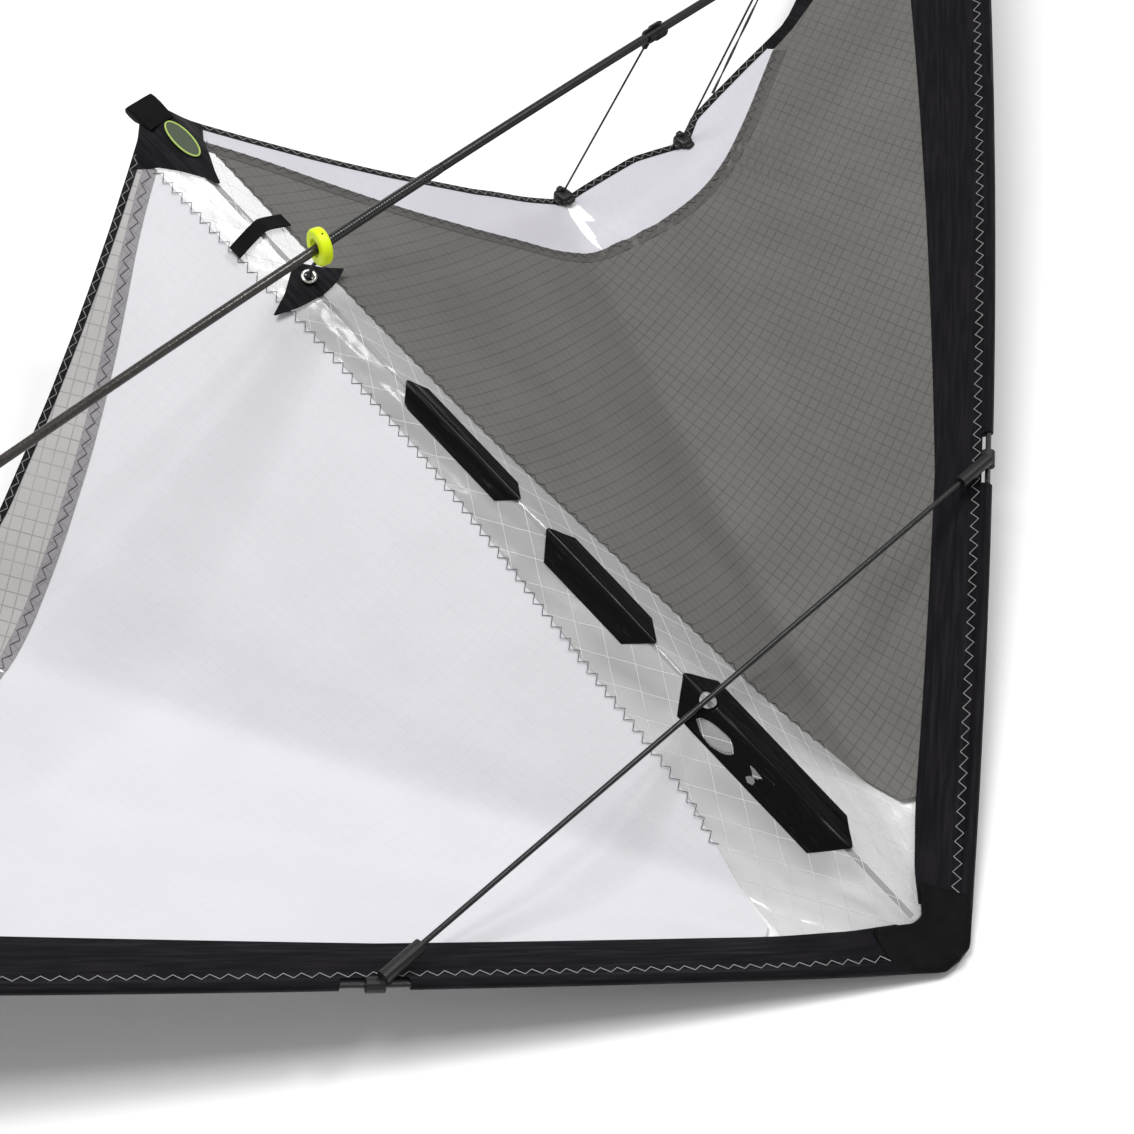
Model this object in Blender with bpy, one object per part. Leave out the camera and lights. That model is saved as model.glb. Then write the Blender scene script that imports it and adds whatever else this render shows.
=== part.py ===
"""Two-line stunt kite, lying frame side up on its nose and its four trailing-edge fittings.

The kite is drawn in its own frame, in millimetres: the nose is the origin, +Y points from the tail
to the nose, +X to the right wing as seen from the frame side, and +Z from the sail to the frame.
An empty carries that frame, tilted as the kite rests on a floor. Every mesh is written in metres.
"""
import math

import bmesh
import bpy
from mathutils import Matrix, Vector

MM = 0.001
SIDES = (("right", 1.0), ("left", -1.0))

# Rest attitude: the tail end stands higher than the nose
TILT = math.radians(14.36)

# Leading edge, by the distance s from the nose along it
HALF_ANGLE = math.radians(50.37)
BOW_LENGTH = 665.0
BOW_OUT = 6.57
BOW_UP = 6.93
DROOP = 0.0243
TIP_S = 862.0
NOSE_PATCH_S = 40.0

# Sail: a conical billow, depth over distance from the nose, by the share of the half angle
BILLOW = ((0.0, 0.0), (0.29, 0.133), (0.38, 0.172), (0.52, 0.2254), (0.605, 0.2148), (0.69, 0.203),
          (0.82, 0.128), (1.0, 0.0))
SAIL_THICKNESS = 0.8
FILM_THICKNESS = 0.6
SEAM_GAP = 0.3

# Seams and edges of the right wing, in plan
FILM_SEAM = ((38.0, -103.0), (30.0, -140.0), (24.5, -212.0), (20.0, -262.0), (15.5, -320.0),
             (13.5, -395.0), (14.0, -450.0), (14.0, -505.0))
STRIP_SEAM = ((14.0, -505.0), (35.0, -490.0), (60.0, -468.0), (85.0, -447.0), (113.0, -426.0),
              (146.0, -404.0), (180.0, -385.0), (210.0, -376.0), (244.0, -373.0), (279.0, -377.0),
              (310.0, -390.0), (335.0, -402.5), (352.0, -411.0))
TRAILING_EDGE = ((8.5, -524.0), (21.5, -515.0), (44.0, -500.0), (66.0, -486.0), (85.0, -474.5),
                 (105.0, -463.0), (120.0, -455.0), (151.0, -439.0), (178.0, -428.8), (198.0, -421.5),
                 (205.0, -419.0), (254.0, -415.0), (283.0, -405.5), (299.0, -414.0),
                 (317.0, -416.0), (337.0, -417.4), (352.0, -418.0))
STRIP_CORNER = (14.6, -514.4)
FILM_TAIL = ((13.2, -514.5), (7.0, -519.5))
TIP_EDGE = ((369.0, -419.0), (384.5, -425.4))
FORK = (317.0, -416.0)
HEM_WIDTH = 3.7
HEM_THICKNESS = 1.4

# Leading-edge sleeve: it flares outboard and tapers off past the tip patch
SLEEVE_WIDTH = 23.0
FLARE_S = 250.0
FLARE = 0.0385
TAPER_S = 720.0
TIP_WIDTH = 9.0
MAIN_PANEL_S = 640.0
FILM_TOP_S = 76.0
POCKET_RADIUS = 2.3
POCKET_BORE = 1.75

# Rods
LE_ROD_RADIUS = 1.35
SPINE_RADIUS = 1.25
SPINE_Z = -2.5
SPINE_NOSE_Y = -32.5
TAIL_CAP_Y = -528.0
UPPER_RADIUS = 1.25
UPPER_S = 254.5
UPPER_Z = 2.8
LOWER_RADIUS = 2.2
LOWER_S = 653.5
LOWER_Y = -418.5
LOWER_Z = 27.0
LOWER_SAG = 45.62
LOWER_SPAN = 570.0
FERRULE_X = -75.0
FERRULE_END = 2.0
FERRULE_RADIUS = 2.3

# Standoffs: clip place on the lower spreader, and foot place on the trailing edge, right wing
STANDOFF_RADIUS = 0.55
STANDOFFS = (("inner", 219.5, (205.0, -419.0)), ("outer", 313.0, (283.0, -405.5)))
FOOT_LIFT = 3.0

# Nose patch: a wedge with its corners cut off, by half heights from right to left
NOSE_CORNER = (8.0, -6.4)
NOSE_NOTCH_S = 19.5
NOSE_HEIGHTS = (3.2, 3.2, 0.8, 3.9, 0.8, 3.2, 3.2)
NOSE_MIDDLE_Y = -18.0
NOSE_MIDDLE_HEIGHT = 3.2

# Patches and tapes on the centre band
OPENING_Y = -158.8
OPENING_RADIUS = 4.0
EYELET_Y = -419.2
EYELET_RING = ((0.0, 2.1), (0.0, 3.5), (0.9, 3.5), (0.9, 2.1))
EYELET_HOLE = 2.9
EYELET_Z = 1.5
SPINE_STRIPS = ((-353.5, -279.5, 7.5, 7.5), (-261.8, -192.3, 10.0, 10.0), (-174.4, -70.8, 13.5, 11.5))
STRIP_POINT = 0.6
STRIP_THICKNESS = 0.4
PATCH_LIFT = 0.9
TAB_Y = (-454.0, -444.0)
TAB_HALF = 13.0
TAB_LIFT = 1.2
TAB_THICKNESS = 1.0
TAIL_PATCH = ((-514.0, 12.2), (-505.0, 12.2), (-496.0, 8.0), (-480.0, 1.0))
TAIL_CAP = ((-7.8, -8.0, -5.5), (7.8, 0.0, 2.0))
CAP_ROUND = 1.2
STAR = ((-429.0, 6.0), (-425.6, 5.0), (-416.6, 12.0), (-412.7, 5.5), (-408.8, 0.6))

# Wing tips: tip patch corners, cap on the leading-edge rod, and the taut line's ends
TIP_SEAM_SHIFT = (1.5, -1.0)
NOCK_RADIUS = 2.5
NOCK_S = (862.5, 871.0)
LINE_RADIUS = 0.6
LINE_START = (0.5, -1.4)
LINE_END_S = 866.0
LINE_END = (-3.5, -2.7, -1.2)

# Centre moulding: half width, radius, rounding, bore and the wider mouth on its right side
CENTRE_HALF = 2.9
CENTRE_RADIUS = 8.75
CENTRE_ROUND = 1.4
CENTRE_BORE = 2.7
CENTRE_MOUTH = 4.2
CENTRE_MOUTH_DEPTH = 1.6
TIE_RADIUS = 1.5
TIE_LOOP = ((-1.2, 1.6), (-1.2, 2.4), (1.2, 2.4), (1.2, 1.6))

# Connectors: collar round the leading-edge rod, a socket for the spreader's end, and the sleeve's
# windows as (half length, reach inward of the rod's axis)
COLLAR_RADIUS = 3.3
COLLAR_BORE = 1.75
UPPER_COLLAR_HALF = 3.9
LOWER_COLLAR_HALF = 6.0
UPPER_SOCKET = 3.1
UPPER_MOUTH = 24.0
UPPER_STOP = 8.0
LOWER_SOCKET = 4.0
LOWER_MOUTH = 20.0
LOWER_STOP = 4.0
LOWER_WEB_HALF = 4.0
SOCKET_GAP = 0.35
ROD_GAP = 0.4
WINDOWS = (("upper", UPPER_S, ((14.5, 2.7), (4.6, 4.4))), ("lower", LOWER_S, ((16.0, 2.7), (7.0, 9.0))))
WINDOW_OUT = 8.0
WINDOW_HEIGHT = 9.0
CUTTER = 12.0

# Standoff clip: a C round the lower spreader, open on top, as (outboard, radius) along it
CLIP_BORE = 2.55
CLIP_PROFILE = ((-3.6, 3.1), (-2.8, 3.5), (1.0, 3.5), (1.8, 4.1), (7.4, 4.1), (8.4, 3.6))
CLIP_GAP = math.radians(34.0)
BOSS = (3.1, 9.0)
BOSS_RADIUS = 1.6

# Trailing-edge fitting: a clamp round the hem, with a cradle that is open to the tail
CLAMP = ((-3.8, -2.4), (3.0, -2.4), (3.0, -1.6), (-2.6, -1.6), (-2.6, 1.9), (3.0, 1.9), (3.0, 4.9),
         (-3.8, 4.9))
CLAMP_HALF = 3.2
CRADLE = ((-1.3, -8.0, 2.4), (1.3, 1.6, 8.0))


def le_point(s):
    """Outer fold of the right leading edge, s millimetres from the nose."""
    bow = 4.0 * (s / BOW_LENGTH) * (1.0 - s / BOW_LENGTH)
    out = BOW_OUT * bow
    return Vector((s * math.sin(HALF_ANGLE) + out * math.cos(HALF_ANGLE),
                   -s * math.cos(HALF_ANGLE) + out * math.sin(HALF_ANGLE),
                   -DROOP * s + BOW_UP * bow))


def le_tangent(s):
    return (le_point(s + 1.0) - le_point(s - 1.0)).normalized()


def end_slope(near, far, step_near, step_far):
    """Three-point slope at the end of a monotone curve."""
    return ((2.0 * step_near + step_far) * near - step_near * far) / (step_near + step_far)


def knot_slopes(knots):
    """Slopes of a monotone cubic through the knots."""
    steps = [b[0] - a[0] for a, b in zip(knots, knots[1:])]
    rises = [(b[1] - a[1]) / step for a, b, step in zip(knots, knots[1:], steps)]
    slopes = [end_slope(rises[0], rises[1], steps[0], steps[1])]
    for i in range(1, len(rises)):
        before, after = rises[i - 1], rises[i]
        if before * after <= 0.0:
            slopes.append(0.0)
            continue
        w_before = 2.0 * steps[i] + steps[i - 1]
        w_after = steps[i] + 2.0 * steps[i - 1]
        slopes.append((w_before + w_after) / (w_before / before + w_after / after))
    slopes.append(end_slope(rises[-1], rises[-2], steps[-1], steps[-2]))
    return slopes


BILLOW_SLOPES = knot_slopes(BILLOW)


def billow(u):
    """Depth of the sail over the distance from the nose, by the share of the half angle."""
    u = min(max(u, 0.0), 1.0)
    i = max(k for k in range(len(BILLOW) - 1) if BILLOW[k][0] <= u)
    (u0, g0), (u1, g1) = BILLOW[i], BILLOW[i + 1]
    step = u1 - u0
    t = (u - u0) / step
    return ((2 * t**3 - 3 * t**2 + 1) * g0 + (t**3 - 2 * t**2 + t) * step * BILLOW_SLOPES[i]
            + (3 * t**2 - 2 * t**3) * g1 + (t**3 - t**2) * step * BILLOW_SLOPES[i + 1])


def sail_z(x, y):
    """Height of the sail over the plan point, on either wing."""
    reach = math.hypot(x, y)
    share = math.atan2(abs(x), -y) / HALF_ANGLE
    return -reach * billow(share) + min(share, 1.0)**2 * le_point(reach).z


def on_sail(plan):
    return Vector((plan[0], plan[1], sail_z(plan[0], plan[1])))


def sleeve_width(s):
    """Plan width of the sleeve, at right angles to the leading edge."""
    full = SLEEVE_WIDTH + FLARE * max(0.0, min(s, TAPER_S) - FLARE_S)
    taper = max(0.0, s - TAPER_S) / (TIP_S - TAPER_S)
    return full + (TIP_WIDTH - full) * taper


def inner_edge(s, gap=0.0):
    """Inner edge of the sleeve, as a point on the sail, gap millimetres further in."""
    tangent = le_tangent(s)
    inward = Vector((tangent.y, -tangent.x)).normalized()
    plan = le_point(s).xy + inward * (sleeve_width(s) + gap)
    return on_sail(plan)


def sleeve_axes(s):
    """Inward and upward directions of the sleeve's section."""
    inward = (inner_edge(s) - le_point(s)).normalized()
    upward = le_tangent(s).cross(inward)
    if upward.z < 0.0:
        upward.negate()
    return inward, upward.normalized()


def rod_axis(s):
    """Axis of the leading-edge rod, inside the sleeve's outer fold."""
    inward, _ = sleeve_axes(s)
    return le_point(s) + inward * POCKET_RADIUS


def lower_axis(x):
    """Axis of the bowed lower spreader."""
    return Vector((x, LOWER_Y, LOWER_Z - LOWER_SAG * (x / LOWER_SPAN)**2))


def lower_tangent(x):
    return (lower_axis(x + 1.0) - lower_axis(x - 1.0)).normalized()


def span(start, end, count):
    """Evenly spaced numbers from start to end, both included."""
    return [start + (end - start) * i / (count - 1) for i in range(count)]


def shifted(line, offset):
    """A plan line moved sideways, to the left of its direction for a positive offset."""
    points = [Vector(p) for p in line]
    moved = []
    for i, point in enumerate(points):
        before = points[max(i - 1, 0)]
        after = points[min(i + 1, len(points) - 1)]
        along = (after - before).normalized()
        moved.append(point + Vector((-along.y, along.x)) * offset)
    return moved


def shares(line):
    """Share of the length at which each point of a plan line lies."""
    points = [Vector(p) for p in line]
    sums = [0.0]
    for a, b in zip(points, points[1:]):
        sums.append(sums[-1] + (b - a).length)
    return [s / sums[-1] for s in sums]


def at(line, share):
    """Point of a plan line at a share of its length."""
    points = [Vector(p) for p in line]
    lengths = [(b - a).length for a, b in zip(points, points[1:])]
    left = share * sum(lengths)
    for a, b, length in zip(points, points[1:], lengths):
        if left <= length:
            return a.lerp(b, left / length)
        left -= length
    return points[-1]


def finish(name, colour, roughness, metallic=0.0):
    """A plain surface finish."""
    material = bpy.data.materials.new(name)
    material.use_nodes = True
    shader = material.node_tree.nodes["Principled BSDF"]
    shader.inputs["Base Color"].default_value = (*colour, 1.0)
    shader.inputs["Roughness"].default_value = roughness
    shader.inputs["Metallic"].default_value = metallic
    return material


def solid(name, verts, faces, material, parent, side=1.0, smooth=False):
    """A closed mesh from millimetre points, mirrored for the left wing, faces turned outward."""
    bm = bmesh.new()
    points = [bm.verts.new((v[0] * side * MM, v[1] * MM, v[2] * MM)) for v in verts]
    for face in faces:
        bm.faces.new([points[i] for i in face])
    bmesh.ops.recalc_face_normals(bm, faces=bm.faces)
    mesh = bpy.data.meshes.new(name)
    bm.to_mesh(mesh)
    bm.free()
    if smooth:
        mesh.shade_smooth()
        mesh.set_sharp_from_angle(angle=math.radians(40.0))
    mesh.materials.append(material)
    obj = bpy.data.objects.new(name, mesh)
    bpy.context.scene.collection.objects.link(obj)
    obj.parent = parent
    return obj


def as_cutter(obj):
    obj.hide_render = True
    obj.display_type = "WIRE"
    return obj


def combine(obj, other, operation):
    """Boolean of two closed meshes; the other one becomes a hidden guide."""
    modifier = obj.modifiers.new(operation.lower(), "BOOLEAN")
    modifier.operation = operation
    modifier.object = as_cutter(other)
    modifier.solver = "EXACT"


def slab_mesh(rows, thickness, lift=0.0):
    """Points and triangles of a thin solid over a grid of plan points on the sail."""
    height, width = len(rows), len(rows[0])
    grid = [p for row in rows for p in row]
    top = [(p[0], p[1], sail_z(p[0], p[1]) + lift + thickness / 2) for p in grid]
    bottom = [(x, y, z - thickness) for x, y, z in top]
    count = len(top)
    faces = []
    for j in range(height - 1):
        for i in range(width - 1):
            a = j * width + i
            b, c, d = a + 1, a + width + 1, a + width
            below = [v + count for v in (a, b, c, d)]
            faces += [(a, b, c), (a, c, d), (below[0], below[2], below[1]), (below[0], below[3], below[2])]
    rim = list(range(width))
    rim += [j * width + width - 1 for j in range(1, height)]
    rim += [(height - 1) * width + i for i in range(width - 2, -1, -1)]
    rim += [j * width for j in range(height - 2, 0, -1)]
    for a, b in zip(rim, rim[1:] + rim[:1]):
        faces += [(a, b, b + count), (a, b + count, a + count)]
    return top + bottom, faces


def slab(name, rows, thickness, material, parent, side=1.0, lift=0.0):
    verts, faces = slab_mesh(rows, thickness, lift)
    return solid(name, verts, faces, material, parent, side)


def fan_rows(inner, outer, far, rows):
    """Plan grid of a three-cornered panel: inner and outer edges start near one corner."""
    grid = []
    for t in span(0.02, 1.0, rows):
        row = []
        for v in shares(far):
            straight = at(far, 0.0).lerp(at(far, 1.0), v)
            row.append(at(inner, t).lerp(at(outer, t), v) + (at(far, v) - straight) * t)
        grid.append(row)
    return grid


def between(near, far, columns):
    """Plan grid between two lines that run the same way, through the points of both."""
    stations = []
    for v in sorted(shares(near) + shares(far)):
        if not stations or v - stations[-1] > 0.003:
            stations.append(v)
    return [[at(near, v).lerp(at(far, v), t) for t in span(0.0, 1.0, columns)] for v in stations]


def ring(centre, axis, radius, sides):
    """Points of a circle at right angles to the axis."""
    helper = Vector((0.0, 1.0, 0.0)) if abs(axis.normalized().y) < 0.9 else Vector((0.0, 0.0, 1.0))
    first = axis.cross(helper).normalized()
    second = axis.cross(first).normalized()
    turns = [2.0 * math.pi * (i + 0.5) / sides for i in range(sides)]
    return [centre + (first * math.cos(a) + second * math.sin(a)) * radius for a in turns]


def loft(rings):
    """Points and faces of a closed tube through rings of equal count, with end caps."""
    sides = len(rings[0])
    verts = [p for r in rings for p in r]
    faces = [tuple(range(sides)), tuple((len(rings) - 1) * sides + i for i in reversed(range(sides)))]
    for j in range(len(rings) - 1):
        for i in range(sides):
            a, b = j * sides + i, j * sides + (i + 1) % sides
            faces.append((a, b, b + sides, a + sides))
    return verts, faces


def rod(name, path, radius, material, parent, side=1.0, sides=10):
    """A round bar along a path of points."""
    rings = []
    for i, point in enumerate(path):
        axis = path[min(i + 1, len(path) - 1)] - path[max(i - 1, 0)]
        rings.append(ring(point, axis, radius, sides))
    verts, faces = loft(rings)
    return solid(name, verts, faces, material, parent, side, smooth=True)


def turned(name, profile, centre, axis, material, parent, side=1.0, sides=24):
    """A ring-shaped solid: a closed profile of (along, radius) turned about an axis."""
    direction = Vector(axis).normalized()
    verts = []
    for along, radius in profile:
        verts += ring(centre + direction * along, direction, radius, sides)
    count = len(profile)
    faces = []
    for j in range(count):
        for i in range(sides):
            a, b = j * sides + i, j * sides + (i + 1) % sides
            c = (j + 1) % count * sides
            faces.append((a, b, c + (i + 1) % sides, c + i))
    return solid(name, verts, faces, material, parent, side, smooth=True)


def block_points(low, high):
    """Corners of a box, bottom then top."""
    (x0, y0, z0), (x1, y1, z1) = low, high
    return [Vector(p) for z in (z0, z1) for p in ((x0, y0, z), (x1, y0, z), (x1, y1, z), (x0, y1, z))]


BLOCK_FACES = ((0, 3, 2, 1), (4, 5, 6, 7), (0, 1, 5, 4), (1, 2, 6, 5), (2, 3, 7, 6), (3, 0, 4, 7))


def block(name, low, high, material, parent, side=1.0, turn=None, origin=None):
    """A box, turned and moved when asked."""
    points = block_points(low, high)
    if turn is not None:
        points = [origin + turn @ p for p in points]
    return solid(name, points, BLOCK_FACES, material, parent, side)


def make_materials():
    return {
        "carbon": finish("carbon", (0.03, 0.03, 0.032), 0.35),
        "film": finish("film", (0.62, 0.64, 0.62), 0.25),
        "white": finish("white_ripstop", (0.86, 0.86, 0.85), 0.6),
        "grey": finish("grey_ripstop", (0.20, 0.20, 0.19), 0.6),
        "light_grey": finish("light_grey_ripstop", (0.62, 0.62, 0.62), 0.6),
        "dacron": finish("black_dacron", (0.03, 0.025, 0.035), 0.6),
        "webbing": finish("black_webbing", (0.02, 0.02, 0.02), 0.8),
        "gloss": finish("black_mylar", (0.02, 0.02, 0.022), 0.25),
        "moulding": finish("black_moulding", (0.025, 0.025, 0.025), 0.5),
        "yellow": finish("yellow_moulding", (0.75, 0.86, 0.0), 0.45),
        "steel": finish("eyelet_metal", (0.6, 0.6, 0.62), 0.3, 1.0),
        "line": finish("braided_line", (0.03, 0.03, 0.03), 0.7),
    }


def make_nose_patch(frame, mats):
    """The folded nose, one wedge around the ends of spine and leading-edge rods."""
    outer, inner = le_point(NOSE_PATCH_S), inner_edge(NOSE_PATCH_S)
    corner = inner_edge(NOSE_NOTCH_S)
    right = [Vector((*NOSE_CORNER, 0.0)), outer, inner]
    left = [Vector((-p.x, p.y, p.z)) for p in reversed(right)]
    outline = right + [Vector((0.0, corner.y, sail_z(0.0, corner.y)))] + left
    top = [p + Vector((0, 0, h)) for p, h in zip(outline, NOSE_HEIGHTS)]
    bottom = [p - Vector((0, 0, h)) for p, h in zip(outline, NOSE_HEIGHTS)]
    centre = Vector((0.0, NOSE_MIDDLE_Y, 0.0))
    rise = Vector((0.0, 0.0, NOSE_MIDDLE_HEIGHT))
    verts = top + bottom + [centre + rise, centre - rise]
    count = len(outline)
    faces = []
    for i in range(count):
        j = (i + 1) % count
        faces += [(i, j, 2 * count), (j + count, i + count, 2 * count + 1), (i, i + count, j + count, j)]
    return solid("nose_patch", verts, faces, mats["dacron"], frame)


def sleeve_rings(s):
    """Outer and inner loop of the sleeve's section: a pocket round the rod, and a flat band."""
    inward, upward = sleeve_axes(s)
    centre = rod_axis(s)
    reach = (inner_edge(s) - le_point(s)).length - POCKET_RADIUS
    half = SAIL_THICKNESS / 2
    lips = [math.radians(a) for a in span(9.0, 351.0, 10)]
    outer = [centre + (inward * math.cos(a) + upward * math.sin(a)) * POCKET_RADIUS for a in lips]
    outer += [centre + inward * reach - upward * half, centre + inward * reach + upward * half]
    bore = lips + [math.radians(357.0), math.radians(363.0)]
    inner = [centre + (inward * math.cos(a) + upward * math.sin(a)) * POCKET_BORE for a in bore]
    return outer, inner


def make_sleeve(frame, mats, name, side):
    """A leading-edge sleeve, open at both ends, cut away at its two connectors."""
    stations = span(NOSE_PATCH_S + 0.4, TAPER_S, 18) + [TAPER_S + 60.0, TIP_S]
    verts, faces = [], []
    size = len(sleeve_rings(stations[0])[0])
    for s in stations:
        outer, inner = sleeve_rings(s)
        verts += outer + inner
    step = 2 * size
    for j in range(len(stations) - 1):
        for i in range(size):
            k = (i + 1) % size
            a = j * step
            faces.append((a + i, a + k, a + step + k, a + step + i))
            faces.append((a + size + i, a + step + size + i, a + step + size + k, a + size + k))
    for a, flip in ((0, False), ((len(stations) - 1) * step, True)):
        for i in range(size):
            k = (i + 1) % size
            cap = (a + i, a + size + i, a + size + k, a + k)
            faces.append(tuple(reversed(cap)) if flip else cap)
    sleeve = solid(f"le_sleeve_{name}", verts, faces, mats["dacron"], frame, side)
    for label, s, boxes in WINDOWS:
        inward, upward = sleeve_axes(s)
        turn = Matrix((le_tangent(s), inward, upward)).transposed()
        for i, (half, reach) in enumerate(boxes):
            low, high = (-half, -WINDOW_OUT, -WINDOW_HEIGHT), (half, reach, WINDOW_HEIGHT)
            window = block(f"window_{label}_{i}_{name}", low, high, mats["dacron"], frame, side, turn,
                           rod_axis(s))
            combine(sleeve, window, "DIFFERENCE")


def make_le_rod(frame, mats, name, side):
    path = [rod_axis(s) for s in span(NOSE_PATCH_S + 0.4, TIP_S - 1.0, 20)]
    rod(f"le_rod_{name}", path, LE_ROD_RADIUS, mats["carbon"], frame, side)


def make_tip_nock(frame, mats, name, side):
    """Plastic end cap on the leading-edge rod that holds the tension line."""
    path = [rod_axis(s) for s in NOCK_S]
    rod(f"tip_nock_{name}", path, NOCK_RADIUS, mats["moulding"], frame, side)


def make_panels(frame, mats, name, side):
    """Main panel, trailing strip, hem tape and tip patch of one wing."""
    main, strip = ("white", "light_grey") if name == "right" else ("grey", "white")
    sleeve_line = [inner_edge(s, SEAM_GAP).xy for s in span(FILM_TOP_S, MAIN_PANEL_S, 16)]
    film_line = [sleeve_line[0]] + shifted(FILM_SEAM, SEAM_GAP)
    tip_line = [sleeve_line[-1]]
    far = shifted(STRIP_SEAM, SEAM_GAP) + tip_line
    slab(f"main_panel_{name}", fan_rows(film_line, sleeve_line, far, 12), SAIL_THICKNESS, mats[main],
         frame, side)
    hem_line = shifted(TRAILING_EDGE, HEM_WIDTH)
    strip_near = shifted(STRIP_SEAM, -SEAM_GAP)
    strip_far = [Vector(STRIP_CORNER)] + shifted(TRAILING_EDGE, HEM_WIDTH + 2 * SEAM_GAP)[1:]
    slab(f"te_strip_{name}", between(strip_near, strip_far, 3), SAIL_THICKNESS, mats[strip], frame, side)
    hem = [[a, Vector(b)] for a, b in zip(hem_line, TRAILING_EDGE)]
    slab(f"te_hem_{name}", hem, HEM_THICKNESS, mats["dacron"], frame, side)
    make_tip_patch(frame, mats, name, side)


def make_tip_patch(frame, mats, name, side):
    corner = inner_edge(TAPER_S, SEAM_GAP).xy
    near = Vector(STRIP_SEAM[-1]) + Vector(TIP_SEAM_SHIFT)
    low = Vector(TRAILING_EDGE[-1]) + Vector((TIP_SEAM_SHIFT[0], 0.0))
    edge = [corner, Vector(TIP_EDGE[1]), Vector(TIP_EDGE[0]), low]
    sleeve_line = [inner_edge(s, SEAM_GAP).xy for s in span(TAPER_S - 1.0, MAIN_PANEL_S + 2.0, 5)]
    end = sleeve_line[-1]
    seam = [low, near] + [near.lerp(end, share) for share in (0.33, 0.67)] + [end]
    slab(f"tip_patch_{name}", fan_rows(edge, sleeve_line, seam, 9), SAIL_THICKNESS, mats["dacron"], frame,
         side)


def film_edge():
    """Half widths of the clear centre band, from the nose corner to the tail, in plan."""
    top = [inner_edge(s, 3 * SEAM_GAP).xy for s in (25.0, 40.0, 58.0, FILM_TOP_S - 2.0)]
    return top + shifted(FILM_SEAM, -SEAM_GAP) + [Vector(p) for p in FILM_TAIL]


def make_film(frame, mats):
    """The clear centre band, holed at the eyelet and at the spine's opening under the upper spreader."""
    edge = film_edge()
    rows = []
    for v in span(0.0, 1.0, 26):
        point = at(edge, v)
        rows.append([Vector((point.x * share, point.y)) for share in span(-1.0, 1.0, 7)])
    film = slab("film_panel", rows, FILM_THICKNESS, mats["film"], frame)
    combine(film, hole("hole_eyelet", EYELET_Y, EYELET_HOLE, mats["film"], frame), "DIFFERENCE")
    combine(film, hole("hole_opening", OPENING_Y, OPENING_RADIUS, mats["film"], frame), "DIFFERENCE")


def hole(name, y, radius, material, frame):
    """Upright cutter on the kite's centre line."""
    return rod(name, [Vector((0.0, y, -CUTTER)), Vector((0.0, y, CUTTER))], radius, material, frame)


def cross_row(y, half):
    """Five plan points across the kite's centre line."""
    return [Vector((half * share, y)) for share in (-1.0, -0.5, 0.0, 0.5, 1.0)]


def make_spine_strips(frame, mats):
    """Glossy elongated hexagons that hold the spine to the film."""
    for i, (tail, nose, half, point) in enumerate(SPINE_STRIPS):
        stations = ((tail, STRIP_POINT), (tail + point, half), (nose - point, half), (nose, STRIP_POINT))
        rows = []
        for (y0, w0), (y1, w1) in zip(stations, stations[1:]):
            steps = 2 if abs(y1 - y0) < 2 * point else 4
            for t in span(0.0, 1.0, steps)[(0 if not rows else 1):]:
                width = w0 + (w1 - w0) * t
                rows.append(cross_row(y0 + (y1 - y0) * t, width))
        strip = slab(f"spine_strip_{i + 1}", rows, STRIP_THICKNESS, mats["gloss"], frame, lift=PATCH_LIFT)
        if tail < OPENING_Y < nose:
            combine(strip, hole("hole_strip", OPENING_Y, OPENING_RADIUS, mats["gloss"], frame), "DIFFERENCE")


def make_centre_patch(frame, mats):
    """Pointed reinforcement under the eyelet."""
    rows = [cross_row(y, half) for y, half in STAR]
    patch = slab("centre_patch", rows, STRIP_THICKNESS, mats["dacron"], frame, lift=PATCH_LIFT)
    combine(patch, hole("hole_patch", EYELET_Y, EYELET_HOLE, mats["dacron"], frame), "DIFFERENCE")


def make_eyelet(frame, mats):
    """Metal grommet that the centre tie passes through."""
    centre = Vector((0.0, EYELET_Y, EYELET_Z))
    turned("eyelet", EYELET_RING, centre, (0, 0, 1), mats["steel"], frame, sides=20)


def make_tail(frame, mats):
    """Tail patch, webbing tab across the spine and the cap over the spine's end."""
    rows = [cross_row(y, half) for y, half in TAIL_PATCH]
    slab("tail_patch", rows, STRIP_THICKNESS, mats["dacron"], frame, lift=PATCH_LIFT)
    rows = [[Vector((TAB_HALF * share, y)) for share in span(-1.0, 1.0, 7)] for y in TAB_Y]
    slab("webbing_tab", rows, TAB_THICKNESS, mats["webbing"], frame, lift=TAB_LIFT)
    low, high = (Vector(corner) + Vector((0.0, TAIL_CAP_Y, 0.0)) for corner in TAIL_CAP)
    cap = block("tail_cap", low, high, mats["webbing"], frame)
    bevel = cap.modifiers.new("bevel", "BEVEL")
    bevel.width = CAP_ROUND * MM
    bevel.segments = 2


def make_spine(frame, mats):
    path = [Vector((0, SPINE_NOSE_Y, SPINE_Z)), Vector((0, TAIL_CAP_Y + 0.3, SPINE_Z))]
    rod("spine_rod", path, SPINE_RADIUS, mats["carbon"], frame, sides=12)


def make_spreaders(frame, mats):
    """Upper spreader, bowed lower spreader in two halves, and the ferrule that joins them."""
    reach = rod_axis(UPPER_S).x - UPPER_STOP - ROD_GAP
    ends = [Vector((x, OPENING_Y, UPPER_Z)) for x in (-reach, reach)]
    rod("upper_spreader", ends, UPPER_RADIUS, mats["carbon"], frame, sides=12)
    end = rod_axis(LOWER_S).x + LOWER_STOP - ROD_GAP
    for name, start, stop in (("right", FERRULE_END + ROD_GAP, end), ("left", FERRULE_X - ROD_GAP, -end)):
        path = [lower_axis(x) for x in span(start, stop, 14)]
        rod(f"lower_spreader_{name}", path, LOWER_RADIUS, mats["carbon"], frame, sides=12)
    path = [lower_axis(x) for x in span(FERRULE_X, FERRULE_END, 4)]
    rod("spreader_ferrule", path, FERRULE_RADIUS, mats["carbon"], frame, sides=12)


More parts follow.
